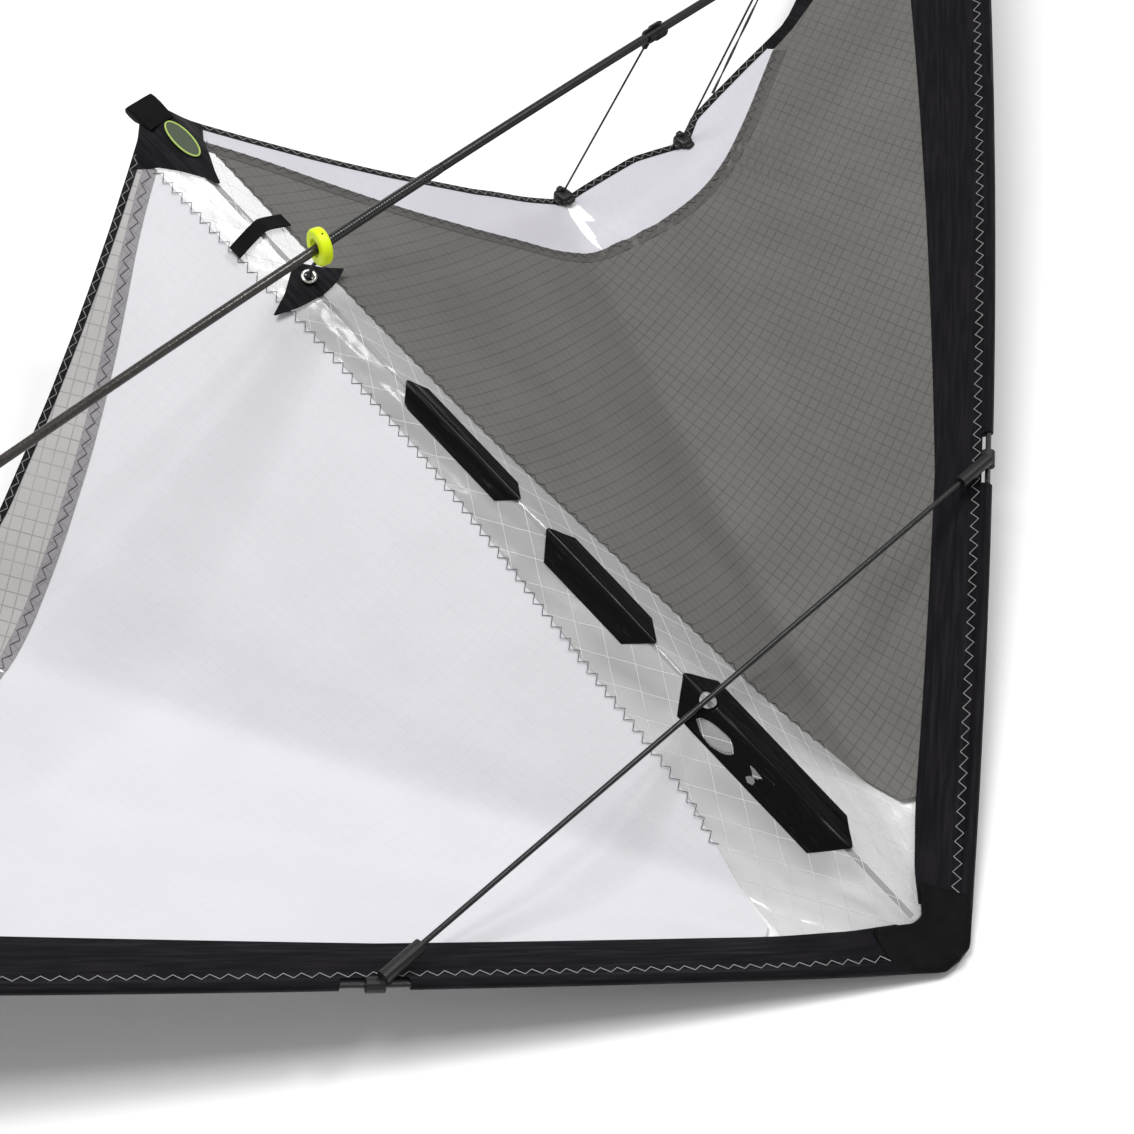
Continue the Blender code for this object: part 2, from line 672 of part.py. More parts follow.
def make_centre(frame, mats):
    """The yellow wheel-shaped moulding on the lower spreader, tied down to the spine."""
    inner = CENTRE_HALF - CENTRE_ROUND
    arc = [math.radians(a) for a in (0.0, 30.0, 60.0, 90.0)]
    corner = [(inner + CENTRE_ROUND * math.sin(a), CENTRE_RADIUS - CENTRE_ROUND + CENTRE_ROUND * math.cos(a))
              for a in arc]
    profile = [(-x, r) for x, r in reversed(corner)] + corner
    floor = CENTRE_HALF - CENTRE_MOUTH_DEPTH
    profile += [(CENTRE_HALF, CENTRE_MOUTH), (floor, CENTRE_MOUTH - 0.5), (floor, CENTRE_BORE),
                (-CENTRE_HALF, CENTRE_BORE)]
    turned("centre_t", profile, lower_axis(0.0), (1, 0, 0), mats["yellow"], frame)
    top = Vector((0.0, EYELET_Y, LOWER_Z - CENTRE_RADIUS - SEAM_GAP))
    spine = Vector((0.0, EYELET_Y, SPINE_Z))
    path = [top, spine + Vector((0.0, 0.0, 2.0))]
    stem = rod("centre_tie", path, TIE_RADIUS, mats["line"], frame, sides=12)
    around = turned("tie_loop", TIE_LOOP, spine, (0, 1, 0), mats["line"], frame, sides=14)
    combine(stem, around, "UNION")


def make_collar(label, name, s, half, frame, mats, side):
    """Round body over the leading-edge rod, and the cutter for the rod's bore."""
    centre, tangent = rod_axis(s), le_tangent(s)
    body = rod(f"{label}_connector_{name}", [centre - tangent * half, centre + tangent * half], COLLAR_RADIUS,
               mats["moulding"], frame, side, sides=16)
    bore = rod(f"bore_{label}_{name}", [centre - tangent * CUTTER, centre + tangent * CUTTER], COLLAR_BORE,
               mats["moulding"], frame, side, 14)
    return centre, body, bore


def make_upper_connector(frame, mats, name, side):
    centre, body, bore = make_collar("upper", name, UPPER_S, UPPER_COLLAR_HALF, frame, mats, side)
    mouth, deep, stop, over = (Vector((centre.x - reach, OPENING_Y, UPPER_Z))
                               for reach in (UPPER_MOUTH, 3.0, UPPER_STOP, UPPER_MOUTH + 2.0))
    socket = rod(f"socket_upper_{name}", [mouth, deep], UPPER_SOCKET, mats["moulding"], frame, side, 14)
    combine(body, socket, "UNION")
    combine(body, bore, "DIFFERENCE")
    well = rod(f"well_upper_{name}", [over, stop], UPPER_RADIUS + SOCKET_GAP, mats["moulding"], frame, side,
               12)
    combine(body, well, "DIFFERENCE")


def make_lower_connector(frame, mats, name, side):
    centre, body, bore = make_collar("lower", name, LOWER_S, LOWER_COLLAR_HALF, frame, mats, side)
    seat, along = lower_axis(centre.x), lower_tangent(centre.x)
    mouth, end = seat - along * LOWER_MOUTH, seat + along * (LOWER_STOP + 3.0)
    low = (-LOWER_WEB_HALF, -LOWER_WEB_HALF, centre.z + 1.0)
    high = (LOWER_WEB_HALF, LOWER_WEB_HALF, seat.z + 1.0)
    web = block(f"web_{name}", low, high, mats["moulding"], frame, side, Matrix.Identity(3),
                Vector((centre.x, LOWER_Y, 0.0)))
    combine(body, web, "UNION")
    socket = rod(f"socket_lower_{name}", [mouth, end], LOWER_SOCKET, mats["moulding"], frame, side, 16)
    combine(body, socket, "UNION")
    combine(body, bore, "DIFFERENCE")
    hollow = [mouth - along * 2.0, seat + along * LOWER_STOP]
    well = rod(f"well_lower_{name}", hollow, LOWER_RADIUS + SOCKET_GAP, mats["moulding"], frame, side, 14)
    combine(body, well, "DIFFERENCE")


def clip_section(radius):
    """Closed outline of the C, in the plane at right angles to the spreader."""
    turns = span(math.pi / 2 + CLIP_GAP, 2.5 * math.pi - CLIP_GAP, 16)
    outer = [(radius * math.cos(a), radius * math.sin(a)) for a in turns]
    inner = [(CLIP_BORE * math.cos(a), CLIP_BORE * math.sin(a)) for a in reversed(turns)]
    return outer + inner


def make_standoff(frame, mats, name, side, place, clip_x, foot):
    """Clip and slender rod, turning together about the spreader."""
    label = f"{name}_{place}"
    pivot = bpy.data.objects.new(f"pivot_{label}", None)
    bpy.context.scene.collection.objects.link(pivot)
    pivot.parent = frame
    centre = lower_axis(clip_x)
    axis = lower_tangent(clip_x)
    mirror = Vector((side, 1.0, 1.0))
    tangent = Vector((axis.x, axis.y, axis.z * side))
    up = Vector((-axis.z * side, 0.0, axis.x))
    turn = Matrix((tangent, up.cross(tangent), up)).transposed()
    pivot.matrix_local = Matrix.Translation(centre * mirror * MM) @ turn.to_4x4()
    section = [[Vector((x * side, y, z)) for y, z in clip_section(radius)] for x, radius in CLIP_PROFILE]
    verts, faces = loft(section)
    clip = solid(f"c_clip_{label}", verts, faces, mats["moulding"], pivot, smooth=True)
    tip = turn.transposed() @ (foot_tip(foot) * mirror - centre * mirror)
    reach = tip.normalized()
    boss = rod(f"boss_{label}", [reach * end for end in BOSS], BOSS_RADIUS, mats["moulding"], pivot, sides=10)
    combine(clip, boss, "UNION")
    path = [reach * (BOSS[1] + SEAM_GAP), tip]
    rod(f"standoff_{label}", path, STANDOFF_RADIUS, mats["carbon"], pivot, sides=8)


def foot_tip(foot):
    """Lower end of the standoff, in its cradle just above the hem."""
    up = Vector((0.0, -math.sin(TILT), math.cos(TILT)))
    return on_sail(foot) + up * FOOT_LIFT


def make_te_fitting(frame, mats, name, side, place, foot):
    label = f"{name}_{place}"
    level = Matrix.Rotation(TILT, 3, "X")
    origin = on_sail(foot)
    section = [[origin + level @ Vector((x, y, z)) for y, z in CLAMP] for x in (-CLAMP_HALF, CLAMP_HALF)]
    verts, faces = loft(section)
    fitting = solid(f"te_fitting_{label}", verts, faces, mats["moulding"], frame, side)
    cradle = block(f"cradle_{label}", *CRADLE, mats["moulding"], frame, side, level, origin)
    combine(fitting, cradle, "DIFFERENCE")


def make_tension_line(frame, mats, name, side):
    """The taut line from the hem to the wing tip."""
    start = on_sail(FORK) + Vector((*LINE_START, 0.0))
    end = rod_axis(LINE_END_S) + Vector(LINE_END)
    rod(f"tension_line_{name}", [start, end], LINE_RADIUS, mats["line"], frame, side, sides=6)


def stand(frame):
    """Move the frame so that the kite rests on z = 0 with its box centred on the origin."""
    bpy.context.view_layer.update()
    shown = bpy.context.evaluated_depsgraph_get()
    corners = []
    for obj in bpy.data.objects:
        if obj.type == "MESH" and not obj.hide_render:
            corners += [obj.matrix_world @ v.co for v in obj.evaluated_get(shown).data.vertices]
    low = [min(c[i] for c in corners) for i in range(3)]
    high = [max(c[i] for c in corners) for i in range(3)]
    frame.location = (-(low[0] + high[0]) / 2, -(low[1] + high[1]) / 2, -low[2])
    bpy.context.view_layer.update()


def main():
    for obj in list(bpy.data.objects):
        bpy.data.objects.remove(obj)
    mats = make_materials()
    frame = bpy.data.objects.new("kite_frame", None)
    bpy.context.scene.collection.objects.link(frame)
    frame.rotation_euler = (-TILT, 0.0, 0.0)
    make_nose_patch(frame, mats)
    make_film(frame, mats)
    make_spine(frame, mats)
    make_spine_strips(frame, mats)
    make_centre_patch(frame, mats)
    make_eyelet(frame, mats)
    make_tail(frame, mats)
    make_spreaders(frame, mats)
    make_centre(frame, mats)
    for name, side in SIDES:
        make_sleeve(frame, mats, name, side)
        make_le_rod(frame, mats, name, side)
        make_tip_nock(frame, mats, name, side)
        make_panels(frame, mats, name, side)
        make_upper_connector(frame, mats, name, side)
        make_lower_connector(frame, mats, name, side)
        make_tension_line(frame, mats, name, side)
        for place, clip_x, foot in STANDOFFS:
            make_standoff(frame, mats, name, side, place, clip_x, foot)
            make_te_fitting(frame, mats, name, side, place, foot)
    stand(frame)


main()
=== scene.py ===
"""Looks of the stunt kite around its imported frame: cloth, film, stitching, mouldings, stage and camera.

Kite coordinates are those of the part's source: millimetres, the nose at the origin, +Y from the tail to
the nose, +X to the right wing seen from the frame side, +Z from the sail to the frame.
"""

import math

import bpy
from mathutils import Matrix, Vector, noise


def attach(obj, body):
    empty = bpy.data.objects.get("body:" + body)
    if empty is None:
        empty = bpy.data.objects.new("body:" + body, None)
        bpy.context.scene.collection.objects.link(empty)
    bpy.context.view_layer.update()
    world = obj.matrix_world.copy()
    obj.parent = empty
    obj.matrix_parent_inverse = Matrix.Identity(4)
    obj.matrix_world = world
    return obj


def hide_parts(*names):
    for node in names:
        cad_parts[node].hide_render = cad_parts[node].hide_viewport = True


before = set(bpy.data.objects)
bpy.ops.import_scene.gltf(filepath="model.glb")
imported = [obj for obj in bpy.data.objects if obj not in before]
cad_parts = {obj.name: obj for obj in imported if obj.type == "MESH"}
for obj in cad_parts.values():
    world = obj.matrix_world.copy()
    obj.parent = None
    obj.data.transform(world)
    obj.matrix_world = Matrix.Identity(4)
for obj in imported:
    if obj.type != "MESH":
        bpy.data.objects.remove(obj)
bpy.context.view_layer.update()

MM = 0.001
SIDES = (("right", 1.0), ("left", -1.0))

# How the kite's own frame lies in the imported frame
TILT = math.radians(14.36)
PLACE = Matrix.Translation((0.0, 0.2818738, 0.001866)) @ Matrix.Rotation(-TILT, 4, "X")

# Camera, in kite coordinates
EYE = Vector((554.37, -56.77, 972.88))
AIM = Vector((5.844, -242.913, 0.0))
ROLL = math.radians(30.178)
FOCAL_PIXELS = 2600.0
PICTURE_PIXELS = 1134.0
SENSOR = 36.0

# Leading edge
HALF_ANGLE = math.radians(50.37)
BOW_LENGTH = 665.0
BOW_OUT = 6.57
BOW_UP = 6.93
DROOP = 0.0243
TIP_S = 862.0
NOSE_PATCH_S = 40.0

# Sail
BILLOW = ((0.0, 0.0), (0.29, 0.133), (0.38, 0.172), (0.52, 0.2254), (0.605, 0.2148), (0.69, 0.203),
          (0.82, 0.128), (1.0, 0.0))
FILM_SEAM = ((38.0, -103.0), (30.0, -140.0), (24.5, -212.0), (20.0, -262.0), (15.5, -320.0),
             (13.5, -395.0), (14.0, -450.0), (14.0, -505.0))
STRIP_SEAM = ((14.0, -505.0), (35.0, -490.0), (60.0, -468.0), (85.0, -447.0), (113.0, -426.0),
              (146.0, -404.0), (180.0, -385.0), (210.0, -376.0), (244.0, -373.0), (279.0, -377.0),
              (310.0, -390.0), (335.0, -402.5), (352.0, -411.0))
TRAILING_EDGE = ((8.5, -524.0), (21.5, -515.0), (44.0, -500.0), (66.0, -486.0), (85.0, -474.5),
                 (105.0, -463.0), (120.0, -455.0), (151.0, -439.0), (178.0, -428.8), (198.0, -421.5),
                 (205.0, -419.0), (254.0, -415.0), (283.0, -405.5), (299.0, -414.0),
                 (317.0, -416.0), (337.0, -417.4), (352.0, -418.0))
STRIP_CORNER = (14.6, -514.4)
FILM_TAIL = ((13.2, -514.5), (7.0, -519.5))
TIP_EDGE = ((369.0, -419.0), (384.5, -425.4))
FORK = (317.0, -416.0)
HEM_WIDTH = 3.7
MAIN_PANEL_S = 640.0
FILM_TOP_S = 76.0
CLOTH = 0.25

FILM = 0.12
FEET = ((205.0, -419.0), (283.0, -405.5))

# Leading-edge sleeve
SLEEVE_WIDTH = 23.0
FLARE_S = 250.0
FLARE = 0.0385
TAPER_S = 720.0
TIP_WIDTH = 9.0
POCKET = 2.3
STITCH_LINE = 7.6
WINDOWS = ((254.5, 14.0, 5.0), (653.5, 15.5, 5.0))

# Rods and fittings
SPINE_Z = -2.5
UPPER_S = 254.5
LOWER_Y = -418.5
LOWER_Z = 27.0
LOWER_SAG = 45.62
LOWER_SPAN = 570.0
OPENING_Y = -158.8
EYELET_Y = -419.2
WHEEL_TURN = math.radians(-16.0)
SPINE_STRIPS = ((-353.5, -279.5, 7.5, 7.5), (-261.8, -192.3, 10.0, 10.0), (-174.4, -70.8, 13.5, 11.5))


# Shape of the kite, as in the part's source

def le_point(s):
    """Outer fold of the right leading edge, s millimetres from the nose."""
    bow = 4.0 * (s / BOW_LENGTH) * (1.0 - s / BOW_LENGTH)
    out = BOW_OUT * bow
    return Vector((s * math.sin(HALF_ANGLE) + out * math.cos(HALF_ANGLE),
                   -s * math.cos(HALF_ANGLE) + out * math.sin(HALF_ANGLE),
                   -DROOP * s + BOW_UP * bow))


def le_tangent(s):
    return (le_point(s + 1.0) - le_point(s - 1.0)).normalized()


def end_slope(near, far, step_near, step_far):
    return ((2.0 * step_near + step_far) * near - step_near * far) / (step_near + step_far)


def knot_slopes(knots):
    """Slopes of a monotone cubic through the knots."""
    steps = [b[0] - a[0] for a, b in zip(knots, knots[1:])]
    rises = [(b[1] - a[1]) / step for a, b, step in zip(knots, knots[1:], steps)]
    slopes = [end_slope(rises[0], rises[1], steps[0], steps[1])]
    for i in range(1, len(rises)):
        before, after = rises[i - 1], rises[i]
        if before * after <= 0.0:
            slopes.append(0.0)
            continue
        w_before = 2.0 * steps[i] + steps[i - 1]
        w_after = steps[i] + 2.0 * steps[i - 1]
        slopes.append((w_before + w_after) / (w_before / before + w_after / after))
    slopes.append(end_slope(rises[-1], rises[-2], steps[-1], steps[-2]))
    return slopes


BILLOW_SLOPES = knot_slopes(BILLOW)


def billow(u):
    """Depth of the sail over the distance from the nose, by the share of the half angle."""
    u = min(max(u, 0.0), 1.0)
    i = max(k for k in range(len(BILLOW) - 1) if BILLOW[k][0] <= u)
    (u0, g0), (u1, g1) = BILLOW[i], BILLOW[i + 1]
    step = u1 - u0
    t = (u - u0) / step
    return ((2 * t**3 - 3 * t**2 + 1) * g0 + (t**3 - 2 * t**2 + t) * step * BILLOW_SLOPES[i]
            + (3 * t**2 - 2 * t**3) * g1 + (t**3 - t**2) * step * BILLOW_SLOPES[i + 1])


def sail_z(x, y):
    reach = math.hypot(x, y)
    share = math.atan2(abs(x), -y) / HALF_ANGLE
    return -reach * billow(share) + min(share, 1.0)**2 * le_point(reach).z


def on_sail(plan, lift=0.0):
    return Vector((plan[0], plan[1], sail_z(plan[0], plan[1]) + lift))


def sleeve_width(s):
    full = SLEEVE_WIDTH + FLARE * max(0.0, min(s, TAPER_S) - FLARE_S)
    taper = max(0.0, s - TAPER_S) / (TIP_S - TAPER_S)
    return full + (TIP_WIDTH - full) * taper


def inner_edge(s, gap=0.0):
    """Inner edge of the sleeve, as a point on the sail."""
    tangent = le_tangent(s)
    inward = Vector((tangent.y, -tangent.x)).normalized()
    return on_sail(le_point(s).xy + inward * (sleeve_width(s) + gap))


def sleeve_axes(s):
    """Inward and upward directions of the sleeve's section."""
    inward = (inner_edge(s) - le_point(s)).normalized()
    upward = le_tangent(s).cross(inward)
    if upward.z < 0.0:
        upward.negate()
    return inward, upward.normalized()


def rod_axis(s):
    return le_point(s) + sleeve_axes(s)[0] * POCKET


def lower_axis(x):
    return Vector((x, LOWER_Y, LOWER_Z - LOWER_SAG * (x / LOWER_SPAN)**2))


# Lines and grids

def span(start, end, count):
    return [start + (end - start) * i / (count - 1) for i in range(count)]


def smooth_step(t):
    t = min(max(t, 0.0), 1.0)
    return t * t * (3.0 - 2.0 * t)


def ridge(distance, width):
    """A smooth bump of height 1 across a line."""
    return math.exp(-(distance / width)**2)


def shifted(line, offset):
    """A plan line moved sideways, to the left of its direction for a positive offset."""
    points = [Vector(p) for p in line]
    moved = []
    for i, point in enumerate(points):
        before, after = points[max(i - 1, 0)], points[min(i + 1, len(points) - 1)]
        along = (after - before).normalized()
        moved.append(point + Vector((-along.y, along.x)) * offset)
    return moved


def length_of(line):
    return sum((Vector(b) - Vector(a)).length for a, b in zip(line, line[1:]))


def at(line, share):
    """Point of a line at a share of its length."""
    points = [Vector(p) for p in line]
    lengths = [(b - a).length for a, b in zip(points, points[1:])]
    left = min(max(share, 0.0), 1.0) * sum(lengths)
    for a, b, length in zip(points, points[1:], lengths):
        if left <= length:
            return a.lerp(b, left / length)
        left -= length
    return points[-1]


def resampled(line, step, blur=0.0):
    """Points every step millimetres along a line, its corners rounded over the blur distance."""
    total = length_of(line)
    count = max(2, round(total / step) + 1)
    points = []
    for share in span(0.0, 1.0, count):
        reach = min(blur / total, share, 1.0 - share)
        near = [at(line, share + reach * k / 2.0) for k in (-2, -1, 0, 1, 2)]
        points.append(sum(near[1:], near[0]) / 5.0)
    return points


def fan_rows(inner, outer, far, rows):
    """Plan grid of a three-cornered panel: inner and outer edges start near one corner."""
    columns = len(far)
    grid = []
    for t in span(0.02, 1.0, rows):
        row = []
        for j, v in enumerate(span(0.0, 1.0, columns)):
            straight = far[0].lerp(far[-1], v)
            row.append(at(inner, t).lerp(at(outer, t), v) + (far[j] - straight) * t)
        grid.append(row)
    return grid


def between(near, far, stations, columns):
    """Plan grid between two lines that run the same way."""
    return [[at(near, v).lerp(at(far, v), t) for t in span(0.0, 1.0, columns)] for v in span(0.0, 1.0, stations)]


# Meshes

def placed(points, side=1.0):
    """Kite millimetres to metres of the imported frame, mirrored for the left wing."""
    return [PLACE @ (Vector((p[0] * side, p[1], p[2])) * MM) for p in points]


def make(name, points, faces, material, side=1.0, uv=None, smooth=True, body="kite"):
    """A mesh piece that rides on a body; uv gives one pair of centimetres per point."""
    if side < 0.0:
        faces = [tuple(reversed(face)) for face in faces]
    mesh = bpy.data.meshes.new(name)
    mesh.from_pydata(placed(points, side), [], faces)
    if smooth:
        mesh.shade_smooth()
        mesh.set_sharp_from_angle(angle=math.radians(50.0))
    mesh.materials.append(material)
    if uv is not None:
        layer = mesh.uv_layers.new(name="cloth")
        for loop in mesh.loops:
            layer.data[loop.index].uv = uv[loop.vertex_index]
    obj = bpy.data.objects.new(name, mesh)
    bpy.context.scene.collection.objects.link(obj)
    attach(obj, body)
    return obj


def sheet_faces(height, width):
    """Faces of a closed slab over a grid: top, underside and rim."""
    count = height * width
    faces = []
    for j in range(height - 1):
        for i in range(width - 1):
            a = j * width + i
            quad = (a, a + 1, a + width + 1, a + width)
            faces.append(quad)
            faces.append(tuple(v + count for v in reversed(quad)))
    rim = list(range(width)) + [j * width + width - 1 for j in range(1, height)]
    rim += [(height - 1) * width + i for i in range(width - 2, -1, -1)]
    rim += [j * width for j in range(height - 2, 0, -1)]
    for a, b in zip(rim, rim[1:] + rim[:1]):
        faces.append((b, a, a + count, b + count))
    return faces


def area_sign(rows):
    """Positive where the grid runs anticlockwise seen from the frame side."""
    a, b, c = rows[0][0], rows[0][-1], rows[-1][-1]
    return (b[0] - a[0]) * (c[1] - a[1]) - (b[1] - a[1]) * (c[0] - a[0])


def cloth(name, rows, material, side=1.0, thickness=CLOTH, lift=0.0, relief=None, grain=0.0, uv=None):
    """A thin closed sheet over plan points on the sail, with a relief in millimetres."""
    grid = [p for row in rows for p in row]
    heights = [sail_z(p[0], p[1]) + lift + (relief(p[0] * side, p[1]) if relief else 0.0) for p in grid]
    top = [Vector((p[0], p[1], z + thickness / 2)) for p, z in zip(grid, heights)]
    under = [Vector((p.x, p.y, p.z - thickness)) for p in top]
    faces = sheet_faces(len(rows), len(rows[0]))
    if area_sign(rows) < 0.0:
        faces = [tuple(reversed(face)) for face in faces]
    flat = [uv(p[0] * side, p[1]) if uv else grain_uv(p[0] * side, p[1], grain) for p in grid]
    return make(name, top + under, faces, material, side, flat + flat)


def developed_angles(count):
    """Angle on the unrolled sail at even steps of the plan angle from the spine."""
    step = HALF_ANGLE / count
    angles = [0.0]
    for i in range(count):
        low, high = billow(i / count), billow((i + 1) / count)
        depth, slope = (low + high) / 2.0, (high - low) / step
        angles.append(angles[-1] + step * math.sqrt(1.0 + depth**2 + slope**2) / (1.0 + depth**2))
    return angles


DEVELOPED = developed_angles(100)
TWIST = 1.27


def unrolled(x, y):
    """Distance from the nose and angle from the spine, on the unrolled sail."""
    reach = math.hypot(x, y)
    share = min(math.atan2(abs(x), -y) / HALF_ANGLE, 1.0) * (len(DEVELOPED) - 1)
    i = min(int(share), len(DEVELOPED) - 2)
    angle = DEVELOPED[i] + (DEVELOPED[i + 1] - DEVELOPED[i]) * (share - i)
    depth = sail_z(x, y) / max(reach, 1.0)
    return reach * math.sqrt(1.0 + depth**2), math.copysign(angle, x)


def grain_uv(x, y, grain):
    """Cloth coordinates in centimetres on the unrolled sail, turned by the grain."""
    real, angle = unrolled(x, y)
    turned = angle * TWIST + grain
    return (real * math.sin(turned) / 10.0, -real * math.cos(turned) / 10.0)


def tube(name, path, radius, material, side=1.0, sides=8, body="kite", closed=False, radii=None, uv_scale=0.1):
    """A round cord or rod along a path of points, with capped ends."""
    points, faces, uv = [], [], []
    normal = None
    reach = 0.0
    count = len(path)
    for i, point in enumerate(path):
        before = path[(i - 1) % count] if closed else path[max(i - 1, 0)]
        after = path[(i + 1) % count] if closed else path[min(i + 1, count - 1)]
        axis = (after - before).normalized()
        if normal is None:
            helper = Vector((0, 0, 1)) if abs(axis.z) < 0.9 else Vector((0, 1, 0))
            normal = axis.cross(helper).normalized()
        normal = (normal - axis * normal.dot(axis)).normalized()
        other = axis.cross(normal)
        r = radii[i] if radii else radius
        if i:
            reach += (point - path[i - 1]).length
        for k in range(sides):
            turn = 2.0 * math.pi * k / sides
            points.append(point + (normal * math.cos(turn) + other * math.sin(turn)) * r)
            uv.append((turn * radius * uv_scale, reach * uv_scale))
    last = count if closed else count - 1
    for j in range(last):
        for k in range(sides):
            a, b = j * sides + k, j * sides + (k + 1) % sides
            c, d = (b + sides) % len(points), (a + sides) % len(points)
            faces.append((a, b, c, d))
    if not closed:
        faces.append(tuple(reversed(range(sides))))
        faces.append(tuple((count - 1) * sides + k for k in range(sides)))
    return make(name, points, faces, material, side, uv, body=body)


def turned(name, profile, centre, axis, material, side=1.0, sides=48, body="kite"):
    """A ring-shaped solid: a closed profile of (along, radius) turned about an axis."""
    direction = Vector(axis).normalized()
    helper = Vector((0, 0, 1)) if abs(direction.z) < 0.9 else Vector((0, 1, 0))
    first = direction.cross(helper).normalized()
    second = direction.cross(first)
    points, uv, faces = [], [], []
    for along, radius in profile:
        for k in range(sides):
            turn = 2.0 * math.pi * k / sides
            points.append(centre + direction * along + (first * math.cos(turn) + second * math.sin(turn)) * radius)
            uv.append((turn * radius * 0.1, along * 0.1))
    count = len(profile)
    for j in range(count):
        for k in range(sides):
            a, b = j * sides + k, j * sides + (k + 1) % sides
            c = (j + 1) % count * sides
            faces.append((a, b, c + (k + 1) % sides, c + k))
    return make(name, points, faces, material, side, uv, body=body)


def signed_power(value, power):
    return math.copysign(abs(value)**power, value)


def rounded_block(centre, half, turn, power=0.45, rings=10, sides=20):
    """Points and faces of a block with crowned faces and soft edges."""
    points = []
    for i in range(rings + 1):
        v = -math.pi / 2 + math.pi * i / rings
        for k in range(sides):
            u = 2.0 * math.pi * k / sides
            shape = Vector((half[0] * signed_power(math.cos(v), power) * signed_power(math.cos(u), power),
                            half[1] * signed_power(math.cos(v), power) * signed_power(math.sin(u), power),
                            half[2] * signed_power(math.sin(v), power)))
            points.append(centre + turn @ shape)
    faces = []
    for i in range(rings):
        for k in range(sides):
            a, b = i * sides + k, i * sides + (k + 1) % sides
            faces.append((a, b, b + sides, a + sides))
    faces.append(tuple(reversed(range(sides))))
    faces.append(tuple(rings * sides + k for k in range(sides)))
    return points, faces


def gathered(shells):
    """Several closed shells as one list of points and faces."""
    points, faces = [], []
    for shell_points, shell_faces in shells:
        start = len(points)
        points += shell_points
        faces += [tuple(v + start for v in face) for face in shell_faces]
    return points, faces


def zigzag(name, line, period, swing, material, side=1.0, place=None, radius=0.17, body="kite"):
    """A sewn zigzag along a plan line; place puts a plan point on its cloth."""
    total = length_of(line)
    count = int(total / (period / 2.0))
    path = []
    for i in range(count + 1):
        share = i / count
        point = at(line, share)
        near, far = at(line, max(share - 0.01, 0.0)), at(line, min(share + 0.01, 1.0))
        along = (far - near).normalized()
        off = Vector((-along.y, along.x)) * (swing / 2.0 if i % 2 else -swing / 2.0)
        path.append(place(point + off))
    dense = []
    for a, b in zip(path, path[1:]):
        middle = (a + b) / 2.0
        dense += [a, middle + Vector((0.0, 0.0, 0.02))]
    dense.append(path[-1])
    return tube(name, dense, radius, material, side, sides=5, body=body)


# Surfaces

class Paint:
    """A node material: shader values are set on the shader's own sockets."""

    def __init__(self, name, colour, roughness, **values):
        self.material = bpy.data.materials.new(name)
        self.material.use_nodes = True
        self.tree = self.material.node_tree
        self.shader = self.tree.nodes["Principled BSDF"]
        self.colour = colour
        self.set("Base Color", (*colour, 1.0))
        self.set("Roughness", roughness)
        for key, value in values.items():
            self.set(key.replace("_", " "), value)

    def set(self, socket, value):
        self.shader.inputs[socket].default_value = value

    def node(self, kind, **inputs):
        node = self.tree.nodes.new(kind)
        for key, value in inputs.items():
            node.inputs[key.replace("_", " ")].default_value = value
        return node

    def link(self, out, socket):
        self.tree.links.new(out, socket)

    def flat(self):
        """Cloth coordinates in centimetres."""
        return self.node("ShaderNodeTexCoord").outputs["UV"]

    def space(self):
        return self.node("ShaderNodeTexCoord").outputs["Object"]

    def squares(self, cell, line, source=None, soft=0.3):
        """1 on the lines of a square grid, in centimetres."""
        grid = self.node("ShaderNodeTexBrick", Scale=1.0, Mortar_Size=line / 2.0, Mortar_Smooth=soft,
                         Brick_Width=cell, Row_Height=cell)
        grid.offset = 0.0
        grid.squash = 1.0
        self.link(source or self.flat(), grid.inputs["Vector"])
        return grid.outputs["Fac"]

    def stretched(self, scale, source=None):
        mapping = self.node("ShaderNodeMapping", Scale=scale)
        self.link(source or self.flat(), mapping.inputs["Vector"])
        return mapping.outputs["Vector"]

    def noise(self, scale, detail=3.0, source=None, low=0.35, high=0.65):
        cloud = self.node("ShaderNodeTexNoise", Scale=scale, Detail=detail)
        self.link(source or self.space(), cloud.inputs["Vector"])
        spread = self.node("ShaderNodeMapRange", From_Min=low, From_Max=high)
        self.link(cloud.outputs["Fac"], spread.inputs["Value"])
        return spread.outputs["Result"]

    def scaled(self, value, factor):
        times = self.node("ShaderNodeMath")
        times.operation = "MULTIPLY"
        times.inputs[1].default_value = factor
        self.link(value, times.inputs[0])
        return times.outputs[0]

    def times(self, first, second):
        product = self.node("ShaderNodeMath")
        product.operation = "MULTIPLY"
        self.link(first, product.inputs[0])
        self.link(second, product.inputs[1])
        return product.outputs[0]

    def summed(self, first, second):
        plus = self.node("ShaderNodeMath")
        plus.operation = "ADD"
        self.link(first, plus.inputs[0])
        self.link(second, plus.inputs[1])
        return plus.outputs[0]

    def mixed(self, base, other, share):
        """Blend of two colours, or of a colour output and a colour."""
        mix = self.node("ShaderNodeMix")
        mix.data_type = "RGBA"
        for socket, value in ((mix.inputs[6], base), (mix.inputs[7], other)):
            if isinstance(value, tuple):
                socket.default_value = (*value, 1.0)
            else:
                self.link(value, socket)
        self.link(share, mix.inputs[0])
        return mix.outputs[2]

    def bump(self, height, distance, strength=1.0):
        """Relief in metres on the shader's normal."""
        bump = self.node("ShaderNodeBump", Distance=distance, Strength=strength)
        self.link(height, bump.inputs["Height"])
        self.link(bump.outputs["Normal"], self.shader.inputs["Normal"])

    def ranged(self, value, low, high):
        spread = self.node("ShaderNodeMapRange", To_Min=low, To_Max=high)
        self.link(value, spread.inputs["Value"])
        return spread.outputs["Result"]

    def colour_from(self, output):
        self.link(output, self.shader.inputs["Base Color"])

    def roughness_from(self, output):
        self.link(output, self.shader.inputs["Roughness"])


